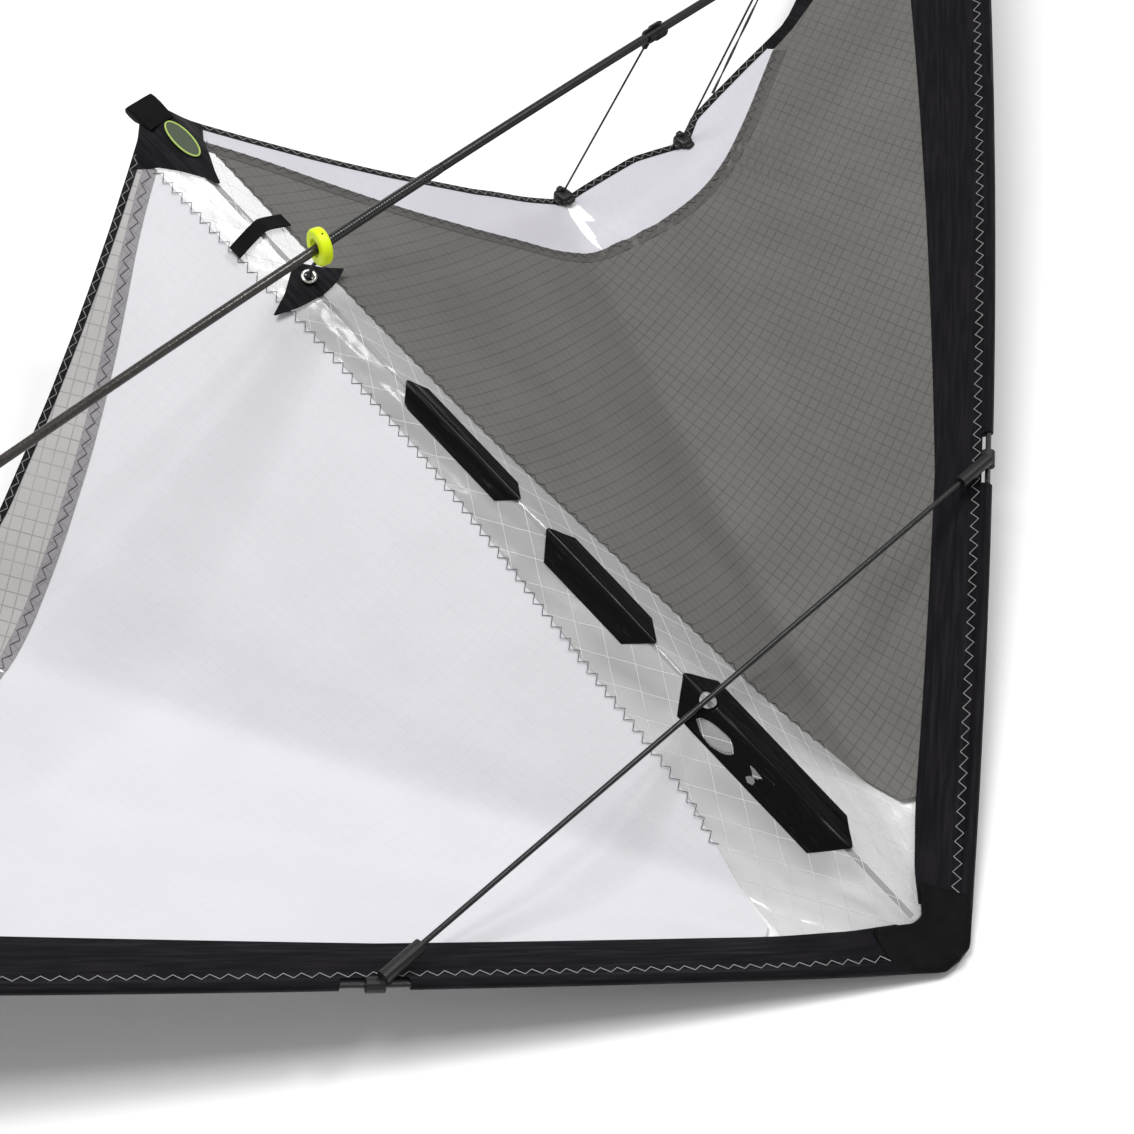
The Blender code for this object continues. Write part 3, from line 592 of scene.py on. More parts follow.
def ripstop(name, colour, line_colour, line_share, roughness=0.6, cell=0.6, fade=0.12, relief=1.0):
    """Ripstop nylon: fine weave, a raised grid of thicker threads and slight crumpling."""
    paint = Paint(name, colour, roughness, Specular_IOR_Level=0.2)
    grid = paint.squares(cell, 0.055)
    weave = paint.squares(0.05, 0.014, soft=1.0)
    cloud = paint.noise(22.0)
    shade = tuple(c * (1.0 - fade) for c in colour)
    base = paint.mixed(colour, shade, cloud)
    uneven = paint.ranged(paint.noise(1.0, 2.0, paint.stretched((0.9, 0.35, 1.0))), 0.45, 1.0)
    lines = paint.times(paint.scaled(grid, line_share), uneven)
    paint.colour_from(paint.mixed(base, line_colour, lines))
    crumple = paint.noise(90.0, 2.0)
    threads = paint.scaled(paint.summed(grid, paint.scaled(weave, 0.4)), relief)
    paint.bump(paint.summed(threads, paint.scaled(crumple, 1.0)), 0.0001)
    return paint.material


def clear_film():
    """Clear laminate with white crossing threads, creased here and there."""
    paint = Paint("clear_film", (0.80, 0.80, 0.80), 0.14, Specular_IOR_Level=0.9, IOR=1.5)
    threads = paint.squares(1.0, 0.035, soft=0.5)
    crease = paint.noise(1.0, 2.0, paint.stretched((110.0, 32.0, 60.0), paint.space()), 0.4, 0.75)
    fine = paint.noise(1.0, 2.0, paint.stretched((420.0, 90.0, 300.0), paint.space()))
    paint.colour_from(paint.mixed((0.66, 0.655, 0.655), (0.90, 0.90, 0.90), threads))
    paint.link(paint.ranged(threads, 0.30, 0.8), paint.shader.inputs["Alpha"])
    paint.bump(paint.summed(paint.scaled(crease, 2.2), paint.summed(threads, paint.scaled(fine, 0.12))), 0.0002)
    return paint.material


def dacron(name, colour=(0.0034, 0.0027, 0.0043)):
    """Resinated polyester: close weave, lengthwise streaks of painted sheen, lighter and glossier."""
    paint = Paint(name, colour, 0.5, Specular_IOR_Level=0.10)
    sheen_streaks = paint.noise(1.0, 4.0, paint.stretched((5.0, 0.35, 1.0)), 0.42, 0.68)
    # The lighter colour along the streaks is painted sheen.
    light = tuple(c * 2.2 + 0.002 for c in colour)
    paint.colour_from(paint.mixed(colour, light, sheen_streaks))
    paint.roughness_from(paint.ranged(sheen_streaks, 0.56, 0.38))
    weave = paint.squares(0.045, 0.016, soft=1.0)
    folds = paint.noise(1.0, 3.0, paint.stretched((2.2, 0.12, 1.0)))
    paint.bump(paint.summed(paint.scaled(weave, 0.5), paint.scaled(folds, 2.5)), 0.00012)
    return paint.material


def heavy_weave():
    """Coarse black nylon of the nose patch, the tail cap and the tab."""
    paint = Paint("heavy_weave", (0.004, 0.004, 0.004), 0.62, Specular_IOR_Level=0.08)
    ribs = paint.squares(0.11, 0.045, soft=0.8)
    wear = paint.noise(130.0)
    base = paint.mixed((0.0022, 0.0022, 0.0024), (0.008, 0.008, 0.0085), ribs)
    paint.colour_from(paint.mixed(base, (0.014, 0.014, 0.015), paint.scaled(wear, 0.25)))
    paint.bump(ribs, 0.00025)
    return paint.material


def gloss_tape():
    """Black laminate: shiny, lightly scratched and rippled along the kite."""
    paint = Paint("gloss_tape", (0.003, 0.003, 0.003), 0.25, Specular_IOR_Level=0.12)
    scratches = paint.noise(1.0, 5.0, paint.stretched((9.0, 0.9, 1.0)), 0.6, 0.72)
    ripples = paint.noise(1.0, 2.0, paint.stretched((1.6, 0.25, 1.0)))
    paint.colour_from(paint.mixed((0.002, 0.002, 0.002), (0.04, 0.039, 0.038), paint.scaled(scratches, 0.25)))
    paint.roughness_from(paint.ranged(scratches, 0.22, 0.36))
    paint.bump(ripples, 0.00025)
    return paint.material


def carbon(name, dark, light, roughness):
    """Pultruded carbon rod: fine grain along the rod."""
    paint = Paint(name, dark, roughness, Specular_IOR_Level=0.5)
    grain = paint.noise(900.0, 3.0)
    broad = paint.noise(60.0, 2.0)
    base = paint.mixed(dark, light, paint.scaled(grain, 0.7))
    paint.colour_from(paint.mixed(base, dark, paint.scaled(broad, 0.5)))
    paint.bump(grain, 0.00003)
    return paint.material


def braid(name, dark, light, cell, roughness=0.45):
    """Crossing strands, in the cord's own coordinates, with painted highlights on alternate checks and painted shade
    in the lines between them.
    """
    paint = Paint(name, dark, roughness)
    turned_map = paint.node("ShaderNodeMapping", Rotation=(0.0, 0.0, math.radians(45.0)))
    paint.link(paint.flat(), turned_map.inputs["Vector"])
    strand_highlight_checks = paint.node("ShaderNodeTexChecker", Scale=1.0 / cell)
    paint.link(turned_map.outputs["Vector"], strand_highlight_checks.inputs["Vector"])
    lines = paint.squares(cell, cell * 0.3, turned_map.outputs["Vector"], 0.8)
    # Lighter checks are painted highlights on the strands.
    base = paint.mixed(dark, light, strand_highlight_checks.outputs["Fac"])
    # The darker lines between the checks are painted shade.
    paint.colour_from(paint.mixed(base, tuple(c * 0.5 for c in dark), lines))
    paint.bump(paint.summed(strand_highlight_checks.outputs["Fac"], paint.scaled(lines, -1.0)), 0.00015)
    return paint.material


def moulding(name, colour, worn, roughness, scale=260.0):
    """Moulded rubber or plastic: matt grain, slightly polished by handling."""
    paint = Paint(name, colour, roughness, Specular_IOR_Level=0.4)
    cloud = paint.noise(70.0)
    grain = paint.noise(scale * 6.0, 2.0)
    paint.colour_from(paint.mixed(colour, worn, paint.scaled(cloud, 0.7)))
    paint.roughness_from(paint.ranged(cloud, roughness + 0.07, roughness - 0.1))
    paint.bump(grain, 0.00003)
    return paint.material


def thread(name, colour):
    paint = Paint(name, colour, 0.6, Sheen_Weight=0.1)
    twist = paint.noise(1200.0, 2.0)
    paint.colour_from(paint.mixed(tuple(c * 0.75 for c in colour), colour, twist))
    paint.bump(twist, 0.00005)
    return paint.material


def nickel():
    paint = Paint("nickel_plate", (0.62, 0.61, 0.58), 0.22, Metallic=1.0)
    marks = paint.noise(500.0, 4.0)
    paint.roughness_from(paint.ranged(marks, 0.16, 0.34))
    paint.bump(marks, 0.00002)
    return paint.material


def badge_face():
    """Plain embroidered oval, without any mark."""
    paint = Paint("badge_face", (0.045, 0.06, 0.035), 0.6)
    rows = paint.squares(0.06, 0.03, soft=1.0)
    paint.colour_from(paint.mixed((0.04, 0.052, 0.032), (0.09, 0.115, 0.07), rows))
    paint.bump(rows, 0.0001)
    return paint.material


def floor_paint():
    paint = Paint("studio_floor", (0.93, 0.93, 0.93), 0.9, Specular_IOR_Level=0.1)
    cloud = paint.noise(3.0)
    paint.colour_from(paint.mixed((0.93, 0.93, 0.93), (0.915, 0.915, 0.915), cloud))
    return paint.material


def make_paints():
    return {
        "white": ripstop("white_ripstop", (0.655, 0.65, 0.685), (0.62, 0.615, 0.65), 0.25, fade=0.03, relief=0.3),
        # A darker copy of the white ripstop: painted shade on the left trailing strip.
        "shaded_strip_white": ripstop("white_ripstop_painted_shade", (0.60, 0.585, 0.63), (0.56, 0.55, 0.60), 0.25, fade=0.04, relief=0.4),
        "grey": ripstop("grey_ripstop", (0.150, 0.146, 0.136), (0.062, 0.060, 0.058), 0.6, fade=0.10),
        "light_grey": ripstop("light_grey_ripstop", (0.46, 0.447, 0.44), (0.21, 0.205, 0.205), 0.6, fade=0.06),
        "lap_grey": ripstop("grey_ripstop_lap", (0.112, 0.107, 0.102), (0.06, 0.056, 0.053), 0.7, fade=0.10),
        "lap_light": ripstop("light_grey_lap", (0.30, 0.29, 0.30), (0.17, 0.165, 0.17), 0.6, fade=0.1),
        "film": clear_film(),
        "dacron": dacron("black_dacron"),
        "tape": dacron("hem_tape", (0.006, 0.006, 0.0065)),
        "patch": dacron("black_patch_cloth", (0.004, 0.0035, 0.0048)),
        "heavy": heavy_weave(),
        "gloss": gloss_tape(),
        "carbon": carbon("carbon_rod", (0.004, 0.004, 0.0045), (0.018, 0.018, 0.019), 0.3),
        # The right lower spreader's finish: a lighter, browner copy of the carbon with painted sheen.
        "sheen_rod": carbon("carbon_rod_painted_sheen", (0.022, 0.018, 0.016), (0.06, 0.052, 0.047), 0.2),
        "braid": braid("braided_ferrule", (0.004, 0.004, 0.004), (0.045, 0.045, 0.046), 0.11, 0.28),
        "line": braid("braided_line", (0.006, 0.006, 0.006), (0.045, 0.045, 0.047), 0.05, 0.6),
        "rubber": moulding("black_rubber", (0.005, 0.005, 0.005), (0.012, 0.012, 0.012), 0.45),
        "yellow": moulding("yellow_plastic", (0.68, 0.84, 0.0), (0.72, 0.88, 0.0), 0.4),
        "nickel": nickel(),
        "badge": badge_face(),
        "badge_rim": thread("badge_rim_thread", (0.42, 0.58, 0.12)),
        "thread_light": thread("light_thread", (0.50, 0.50, 0.50)),
        "thread_mid_light": thread("hem_thread", (0.33, 0.33, 0.33)),
        "thread_mid": thread("mid_grey_thread", (0.10, 0.10, 0.105)),
        "thread_dark": thread("dark_thread", (0.045, 0.042, 0.048)),
        "white_edge": thread("white_cut_edge", (0.8, 0.8, 0.8)),
    }


# Reliefs of the cloth, in millimetres

def foot_creases(x, y):
    """Creases that the standoff feet draw into the panel on the nose side."""
    total = 0.0
    for (foot_x, foot_y), turns in zip(FEET, ((-14.0, 7.0, 27.0), (-20.0, 4.0, 24.0))):
        dx, dy = abs(x) - foot_x, y - foot_y
        away = math.hypot(dx, dy)
        if away < 1.0 or dy < 0.0:
            continue
        heading = math.degrees(math.atan2(dx, dy))
        for i, turn in enumerate(turns):
            off = math.radians(heading - turn) * away
            wide = 1.8 + away * 0.055
            fade = smooth_step(away / 24.0) * math.exp(-(away / 115.0)**2)
            total -= (1.5, 2.2, 1.5)[i] * ridge(off, wide) * fade
    return total


def radial_fold(x, y):
    """The fold from the nose to the inner standoff, sharper towards the foot."""
    reach = math.hypot(x, y)
    share = math.atan2(abs(x), -y) / HALF_ANGLE
    off = (share - 0.52) * HALF_ANGLE * reach
    second = (share - 0.69) * HALF_ANGLE * reach
    grow = smooth_step((reach - 90.0) / 260.0)
    return -grow * (2.6 * ridge(off, 9.0) + 1.0 * ridge(second, 8.0))


def slack(x, y, size, height):
    return height * noise.noise(Vector((x / size, y / size, 3.7)))


def edge_hold(x, y):
    """0 where the sleeve holds the cloth flat, 1 further in."""
    inside, s = le_distance(x, y)
    return smooth_step((inside - sleeve_width(s) - 1.0) / 26.0)


def main_relief(x, y):
    """Creases of a main panel: sharp ones at the feet, a long fold, slack cloth between."""
    return edge_hold(x, y) * (foot_creases(x, y) + radial_fold(x, y) + slack(x, y, 55.0, 0.9)
                              + slack(x, y, 17.0, 0.18))


def strip_relief(x, y):
    return edge_hold(x, y) * (foot_creases(x, y) + radial_fold(x, y) + slack(x, y, 55.0, 0.9))


def film_relief(x, y):
    """Long creases beside the spine and a faceted crumple, held flat by the sleeves."""
    inside, s = le_distance(x, y)
    held = smooth_step((inside - sleeve_width(s)) / 12.0)
    return held * film_creases(x, y) + 0.15 - rounding(x, y, 2.2)


def rounding(x, y, width):
    """How far cloth laid over the spine sinks below the sharp ridge of the sail."""
    slope = -(sail_z(6.0, y) - sail_z(0.0, y)) / 6.0
    return slope * (math.sqrt(x * x + width * width) - abs(x))


def film_creases(x, y):
    long_waves = 0.0
    for at_x, at_y, reach, height, lean in ((7.5, -365.0, 42.0, 0.8, 0.0), (11.5, -318.0, 40.0, -0.7, -0.09),
                                            (17.0, -245.0, 30.0, 0.6, -0.13), (26.0, -120.0, 34.0, -0.9, -0.3),
                                            (15.0, -62.0, 22.0, 1.2, -0.45), (-24.0, -112.0, 30.0, 0.7, 0.25)):
        off = x - at_x - lean * (y - at_y)
        long_waves += height * ridge(off, 2.2) * math.exp(-((y - at_y) / reach)**2)
    right = 0.2 + 0.8 * smooth_step((x + 4.0) / 10.0)
    facets = (1.1 * abs(noise.noise(Vector((x / 9.0, y / 26.0, 1.3))))
              + 0.45 * noise.noise(Vector((x / 5.0, y / 11.0, 7.1))))
    return long_waves + right * facets


def seam_height(x, y):
    return max(main_relief(x, y), film_relief(x, y))


def film_uv(x, y):
    """Coordinates along the two families of crossing threads."""
    lean = math.radians(62.0)
    across, along = x * math.sin(lean), y * math.cos(lean)
    return ((across - along) / 10.0, (across + along) / 10.0)


def plain_uv(x, y):
    return (x / 10.0, y / 10.0)


# Sail

def make_panels(paints, name, side):
    """Main panel, trailing strip, hem tape, laps and their stitching on one wing."""
    # The left wing's strip takes the white ripstop with painted shade.
    main, strip, lap = ("white", "light_grey", "lap_light") if name == "right" else ("grey", "shaded_strip_white", "lap_grey")
    film_seam = resampled(FILM_SEAM, 6.0, 12.0)
    strip_seam = resampled(STRIP_SEAM, 5.0, 14.0)
    edge = resampled(TRAILING_EDGE, 3.0, 2.5)
    sleeve_line = [inner_edge(s, -2.0).xy for s in span(FILM_TOP_S, MAIN_PANEL_S, 90)]
    film_line = [sleeve_line[0]] + film_seam
    far = resampled([*strip_seam, sleeve_line[-1]], 6.0)
    main_grain = math.radians(-7.0 * side)
    panel = cloth(f"sail_panel_{name}", fan_rows(film_line, sleeve_line, far, 84), paints[main], side,
                  relief=main_relief, grain=main_grain)
    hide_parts(f"main_panel_{name}")
    strip_far = [Vector(STRIP_CORNER)] + shifted(edge, HEM_WIDTH * 0.6)[4:]
    strip_grid = between(strip_seam, strip_far, 120, 12)
    strip_piece = cloth(f"sail_strip_{name}", strip_grid, paints[strip], side, relief=strip_relief,
                        uv=lambda x, y: turned_uv(x, y, 28.0 * side))
    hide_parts(f"te_strip_{name}")
    hem_rows = [[a, a.lerp(b, 0.5), b] for a, b in zip(shifted(edge, HEM_WIDTH), edge)]
    hem = cloth(f"hem_{name}", hem_rows, paints["tape"], side, thickness=1.1, relief=strip_relief,
                uv=lambda x, y: turned_uv(x, y, 28.0 * side))
    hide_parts(f"te_hem_{name}")
    middle = shifted(edge, HEM_WIDTH * 0.5)
    stitch = zigzag(f"hem_stitch_{name}", middle, 5.6, 2.5, paints["thread_mid_light"], side,
                    place=lambda p: on_sail(p, 0.66 + strip_relief(p.x * side, p.y)), radius=0.17)
    under = zigzag(f"hem_stitch_under_{name}", middle, 5.6, 2.5, paints["thread_mid_light"], side,
                   place=lambda p: on_sail(p, -0.66 + strip_relief(p.x * side, p.y)), radius=0.17)
    seam_side = -1.0 if name == "right" else 1.0
    lap_line = resampled(STRIP_SEAM, 4.0, 14.0)
    lap_rows = [[a, a.lerp(b, 0.33), a.lerp(b, 0.67), b] for a, b in zip(lap_line, shifted(lap_line, seam_side * 6.5))]
    lap_piece = cloth(f"seam_lap_{name}", lap_rows, paints[lap], side, thickness=0.2, lift=0.26,
                      relief=strip_relief if name == "right" else main_relief, grain=main_grain)
    relief = strip_relief if name == "right" else main_relief
    stitch_shift = 3.6 if name == "right" else 1.6
    seam_stitch = zigzag(f"seam_stitch_{name}", shifted(lap_line, seam_side * stitch_shift), 6.6, 3.2,
                         paints["thread_dark"], side,
                         place=lambda p: on_sail(p, 0.5 + relief(p.x * side, p.y)), radius=0.2)
    film_line = shifted(resampled(FILM_SEAM, 4.0, 12.0)[2:], 0.6)
    film_stitch = zigzag(f"film_stitch_{name}", film_line, 6.4, 3.0, paints["thread_dark"],
                         side, place=lambda p: on_sail(p, 0.3 + seam_height(p.x * side, p.y)))


def turned_uv(x, y, degrees):
    turn = math.radians(degrees)
    z = sail_z(x, y) * 0.35
    return ((x * math.cos(turn) + y * math.sin(turn)) / 10.0,
            (-x * math.sin(turn) + y * math.cos(turn) + z) / 10.0)


def make_tip(paints, name, side):
    corner = inner_edge(TAPER_S, -1.5).xy
    near = Vector(STRIP_SEAM[-1])
    low = Vector(TRAILING_EDGE[-1])
    edge = resampled([corner, Vector(TIP_EDGE[1]), Vector(TIP_EDGE[0]), low], 4.0, 3.0)
    sleeve_line = [inner_edge(s, -1.5).xy for s in span(TAPER_S - 1.0, MAIN_PANEL_S, 30)]
    seam = resampled([low, near, sleeve_line[-1]], 4.0)
    return cloth(f"tip_reinforcement_{name}", fan_rows(edge, sleeve_line, seam, 26), paints["patch"], side,
                 thickness=0.4, lift=0.15, relief=lambda x, y: slack(x, y, 30.0, 0.4), uv=plain_uv)


def pocket_top(d):
    """Height of the sleeve over its own plane: a pocket round the rod, then two flat layers."""
    if d < POCKET:
        return math.sqrt(max(POCKET**2 - (d - POCKET)**2, 0.0))
    fall = smooth_step((d - POCKET) / (STITCH_LINE - POCKET + 0.6))
    return POCKET * (1.0 - fall) + 0.42 * fall


def window_at(s):
    """Outer limit of the sleeve at s: cut back at the two connectors."""
    for middle, half, cut in WINDOWS:
        inside = smooth_step((half + 0.6 - abs(s - middle)) / 1.2)
        if inside > 0.0:
            return cut * inside
    return 0.0


def sleeve_point(s, d, h):
    inward, upward = sleeve_axes(s)
    return le_point(s) + inward * d + upward * h


def sleeve_slack(s, d, width):
    puff = math.sin(math.pi * min(max((d - STITCH_LINE) / (width - STITCH_LINE), 0.0), 1.0))
    return puff * (0.35 + 0.45 * noise.noise(Vector((s / 38.0, d / 9.0, 5.5))))


def make_sleeve(paints, name, side):
    """A leading-edge sleeve, wrapped round the rod and cut back at the connectors."""
    stations = span(27.0, TIP_S, 210)
    for middle, half, _ in WINDOWS:
        for sign in (-1.0, 1.0):
            stations += [middle + sign * (half + offset) for offset in (-0.6, -0.2, 0.2, 0.6)]
    stations.sort()
    shares = [0.0, 0.02, 0.07, 0.14, 0.22, 0.31, 0.4, 0.52, 0.64, 0.76, 0.88, 1.0]
    points, uv, faces = [], [], []
    for s in stations:
        inward, _ = sleeve_axes(s)
        width = (inner_edge(s) - le_point(s)).length
        limit = window_at(s)
        loop = []
        for share in reversed(shares):
            d = limit + (width - limit) * share
            loop.append((d, pocket_top(d) + sleeve_slack(s, d, width) if share else pocket_top(d) * 0.4))
        for share in shares[1:]:
            d = limit + (width - limit) * share
            loop.append((d, -pocket_top(d) - 0.4 * sleeve_slack(s, d, width)))
        for d, h in loop:
            points.append(sleeve_point(s, d, h))
            uv.append((d / 10.0, s / 10.0))
    size = 2 * len(shares) - 1
    for j in range(len(stations) - 1):
        for i in range(size):
            k = (i + 1) % size
            a, b = j * size + i, j * size + k
            faces.append((a, a + size, b + size, b))
    faces.append(tuple(range(size)))
    faces.append(tuple((len(stations) - 1) * size + i for i in reversed(range(size))))
    sleeve = make(f"leading_edge_sleeve_{name}", points, faces, paints["dacron"], side, uv)
    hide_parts(f"le_sleeve_{name}")
    middle = [sleeve_width(s) for s in span(27.0, TIP_S, 60)]
    for label, sign in (("top", 1.0), ("under", -1.0)):
        path = []
        steps = int((TIP_S - 62.0) / 3.55)
        for i in range(steps):
            s = 34.0 + (TIP_S - 54.0) * i / (steps - 1)
            d = STITCH_LINE + (1.9 if i % 2 else -1.9)
            path.append(sleeve_point(s, d, sign * (pocket_top(d) + 0.12)))
        tube(f"sleeve_stitch_{label}_{name}", path, 0.19, paints["thread_light"], side, sides=5)
    return sleeve


def nose_outline():
    """Plan outline of the folded nose, from the right corner round to the left."""
    right = [Vector((0.0, -5.6)), Vector((8.0, -6.4))]
    right += [le_point(s).xy for s in (14.0, 20.0, 26.0, 34.0)]
    right += [inner_edge(s, -0.8).xy for s in (38.0, 32.0, 26.0, 21.0)]
    right.append(Vector((0.0, inner_edge(19.5).y)))
    left = [Vector((-p.x, p.y)) for p in reversed(right[1:-1])]
    return right + left


def le_distance(x, y):
    """Plan distance inside the leading edge, and the place along it."""
    s = abs(x) * math.sin(HALF_ANGLE) - y * math.cos(HALF_ANGLE)
    point, tangent = le_point(s), le_tangent(s)
    inward = Vector((tangent.y, -tangent.x)).normalized()
    return (Vector((abs(x), y)) - point.xy).dot(inward), s


def make_nose(paints):
    """Heavy patch folded round the nose, crowned over the rod ends."""
    outline = resampled(nose_outline() + [nose_outline()[0]], 1.6, 1.0)[:-1]
    centre = Vector((0.0, -19.0))
    rings = (1.0, 0.985, 0.93, 0.84, 0.72, 0.58, 0.42, 0.25, 0.1)
    points, uv = [], []
    for sign in (1.0, -1.0):
        for ring in rings:
            for p in outline:
                plan = centre.lerp(p, ring)
                inside, _ = le_distance(plan.x, plan.y)
                bulge = 1.5 + 1.6 * smooth_step(inside / 4.0) * (1.0 - smooth_step((inside - 7.0) / 14.0))
                fold = 0.28 * noise.noise(Vector((plan.x / 5.0, plan.y / 5.0, 2.0)))
                edge = math.sqrt(max(1.0 - ((ring - 0.9) / 0.1)**2, 0.0)) if ring > 0.9 else 1.0
                height = sign * max((bulge + fold) * edge, 0.05)
                points.append(Vector((plan.x, plan.y, min(sail_z(plan.x, plan.y) * 0.55, 0.0) + height)))
                uv.append((plan.x / 10.0, plan.y / 10.0))
    count = len(outline)
    block = count * len(rings)
    faces = []
    for half in (0, 1):
        for j in range(len(rings) - 1):
            for i in range(count):
                k = (i + 1) % count
                a, b = half * block + j * count + i, half * block + j * count + k
                quad = (a, b, b + count, a + count)
                faces.append(quad if half else tuple(reversed(quad)))
        inner = [half * block + (len(rings) - 1) * count + i for i in range(count)]
        faces.append(tuple(inner) if half else tuple(reversed(inner)))
    for i in range(count):
        k = (i + 1) % count
        faces.append((i, k, block + k, block + i))
    nose = make("nose_fold", points, faces, paints["heavy"], 1.0, uv)
    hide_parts("nose_patch")
    return nose


def film_edge():
    top = [inner_edge(s, -1.0).xy for s in (22.0, 32.0, 45.0, 60.0, FILM_TOP_S - 2.0)]
    return top + resampled(FILM_SEAM, 6.0, 12.0) + [Vector(p) for p in FILM_TAIL]


def make_film(paints):
    edge = film_edge()
    rows = []
    for v in span(0.0, 1.0, 240):
        point = at(edge, v)
        rows.append([Vector((point.x * share, point.y)) for share in span(-1.0, 1.0, 33)])
    film = cloth("clear_centre_film", rows, paints["film"], thickness=FILM, relief=film_relief, uv=film_uv)
    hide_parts("film_panel")
    return film


def carved(obj, cutters):
    """The object with the cutters' shapes cut away; the cutters are deleted."""
    for cutter in cutters:
        modifier = obj.modifiers.new("cut", "BOOLEAN")
        modifier.operation = "DIFFERENCE"
        modifier.object = cutter
        modifier.solver = "EXACT"
    shown = obj.evaluated_get(bpy.context.evaluated_depsgraph_get())
    mesh = bpy.data.meshes.new_from_object(shown)
    obj.modifiers.clear()
    obj.data = mesh
    for cutter in cutters:
        bpy.data.objects.remove(cutter)
    return obj


def strip_half(y, tail, nose, half, point):
    """Half width of an elongated hexagon at y."""
    from_end = min(y - tail, nose - y)
    return 0.5 + (half - 0.5) * min(from_end / point, 1.0)


def make_spine_strips(paints):
    pieces = []
    for i, (tail, nose, half, point) in enumerate(SPINE_STRIPS):
        inner = span(tail + point, nose - point, 26)
        stations = span(tail, tail + point, 7)[:-1] + inner + span(nose - point, nose, 7)[1:]
        rows = []
        for y in stations:
            w = strip_half(y, tail, nose, half, point)
            rows.append([Vector((w * share, y)) for share in span(-1.0, 1.0, 25)])

        def relief(x, y, low=tail, high=nose, wide=half, last=(i == 2)):
            share = (y - low) / (high - low)
            tunnel = 1.7 + (1.2 * smooth_step((share - 0.8) / 0.2) if last else 0.0)
            hump = tunnel * ridge(x, wide * 0.42) - rounding(x, y, wide * 0.45) + rounding(x, y, 2.2)
            crumple = 0.16 * noise.noise(Vector((x / 6.0, y / 22.0, 9.0)))
            curl = 0.8 * smooth_step((abs(x) / wide - 0.8) / 0.2) * smooth_step((share - 0.9) / 0.1)
            return hump - rounding(x, y, 2.2) + crumple + (curl if last else 0.0)

        strip = cloth(f"spine_tape_{i + 1}", rows, paints["gloss"], thickness=0.3, lift=1.1, relief=relief,
                      uv=plain_uv)
        if tail < OPENING_Y < nose:
            strip = carved(strip, [post("opening_cutter", OPENING_Y, 4.0, paints["gloss"])])
        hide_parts(f"spine_strip_{i + 1}")
        pieces.append(strip)
    return pieces


def post(name, y, radius, material):
    return tube(name, [Vector((0, y, -12)), Vector((0, y, 12))], radius, material, sides=32)


def star_outline():
    return [(0.5, -429.0), (5.2, -425.6), (12.0, -420.8), (22.0, -416.6), (12.0, -411.8), (5.5, -409.9),
            (0.5, -408.8)]


def patch_rows(outline, columns, step=1.2):
    """Plan grid of a patch that is symmetric about the spine, from (half width, y) points."""
    rows = []
    ys = span(outline[0][1], outline[-1][1], max(3, int(abs(outline[-1][1] - outline[0][1]) / step) + 1))
    for y in ys:
        for (w0, y0), (w1, y1) in zip(outline, outline[1:]):
            if min(y0, y1) - 1e-6 <= y <= max(y0, y1) + 1e-6:
                half = w0 + (w1 - w0) * ((y - y0) / (y1 - y0))
                break
        rows.append([Vector((half * share, y)) for share in span(-1.0, 1.0, columns)])
    return rows


def make_star(paints):
    """Pointed reinforcement with its eyelet, and the elastic tie of the centre moulding."""
    def relief(x, y):
        level = -sail_z(x, y) * 0.22
        return level - 0.6 * rounding(x, y, 3.0) + 0.15 * noise.noise(Vector((x / 6.0, y / 6.0, 0.0)))

    star = cloth("eyelet_patch", patch_rows(star_outline(), 33, 0.8), paints["patch"], thickness=0.3, lift=1.2,
                 relief=relief, uv=plain_uv)
    star = carved(star, [post("eyelet_cutter", EYELET_Y, 2.6, paints["patch"])])
    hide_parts("centre_patch")
    arc = [(0.55 + 0.62 * math.sin(a), 2.95 - 0.8 * math.cos(a)) for a in span(-0.3, math.pi + 0.3, 9)]
    profile = [(-0.5, 2.3)] + [(along, radius) for along, radius in arc] + [(-0.5, 3.4)]
    ring = turned("metal_eyelet", profile, Vector((0, EYELET_Y, 1.35)), (0, 0, 1), paints["nickel"])
    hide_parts("eyelet")
    tie_path = [Vector((0.9, LOWER_Y + 1.5, 17.8)), Vector((0.5, -418.6, 12.0)), Vector((0.2, -419.0, 6.0)),
                Vector((0.0, EYELET_Y, 1.0)), Vector((0.6, EYELET_Y, -1.0)), Vector((2.0, EYELET_Y, -2.6)),
                Vector((0.6, EYELET_Y, -4.3)), Vector((-1.6, EYELET_Y, -3.8)), Vector((-2.0, EYELET_Y, -2.2)),
                Vector((-0.6, EYELET_Y, -0.7)), Vector((-0.9, EYELET_Y, 1.6))]
    tie = tube("elastic_tie", resampled(tie_path, 0.8, 1.2), 0.9, paints["line"], sides=10)
    turn = Matrix.Rotation(0.5, 3, "X")
    knot_points, knot_faces = gathered([
        rounded_block(Vector((0.0, EYELET_Y, 2.1)), (1.7, 1.3, 1.0), turn, 0.8),
        rounded_block(Vector((0.5, EYELET_Y + 0.4, 3.2)), (1.1, 1.4, 0.9), turn, 0.8)])
    knot = make("tie_knot", knot_points, knot_faces, paints["line"])
    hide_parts("centre_tie")
    return star, ring, tie, knot


def make_tail(paints):
    """Tail patch with its plain oval badge, webbing over the spine, and the cap on the spine's end."""
    outline = [(7.6, -526.0), (12.0, -521.5), (21.5, -514.6), (19.8, -512.0), (13.5, -505.0), (8.4, -496.0),
               (3.4, -487.0), (0.5, -480.0)]

    def relief(x, y):
        """The patch bridges the fold of the sail and wrinkles a little."""
        level = -sail_z(x, y) * 0.55 * (1.0 - smooth_step((abs(x) - 3.0) / 15.0))
        return level + 0.35 * ridge(x, 3.4) + 0.22 * noise.noise(Vector((x / 7.0, y / 7.0, 4.0)))

    patch = cloth("tail_reinforcement", patch_rows(outline, 33, 1.0), paints["patch"], thickness=0.4, lift=0.95,
                  relief=relief, uv=plain_uv)
    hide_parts("tail_patch")
    badge, rim = make_badge(paints)
    tab = make_tab(paints)
    cap = make_cap(paints)
    return patch, badge, rim, tab, cap


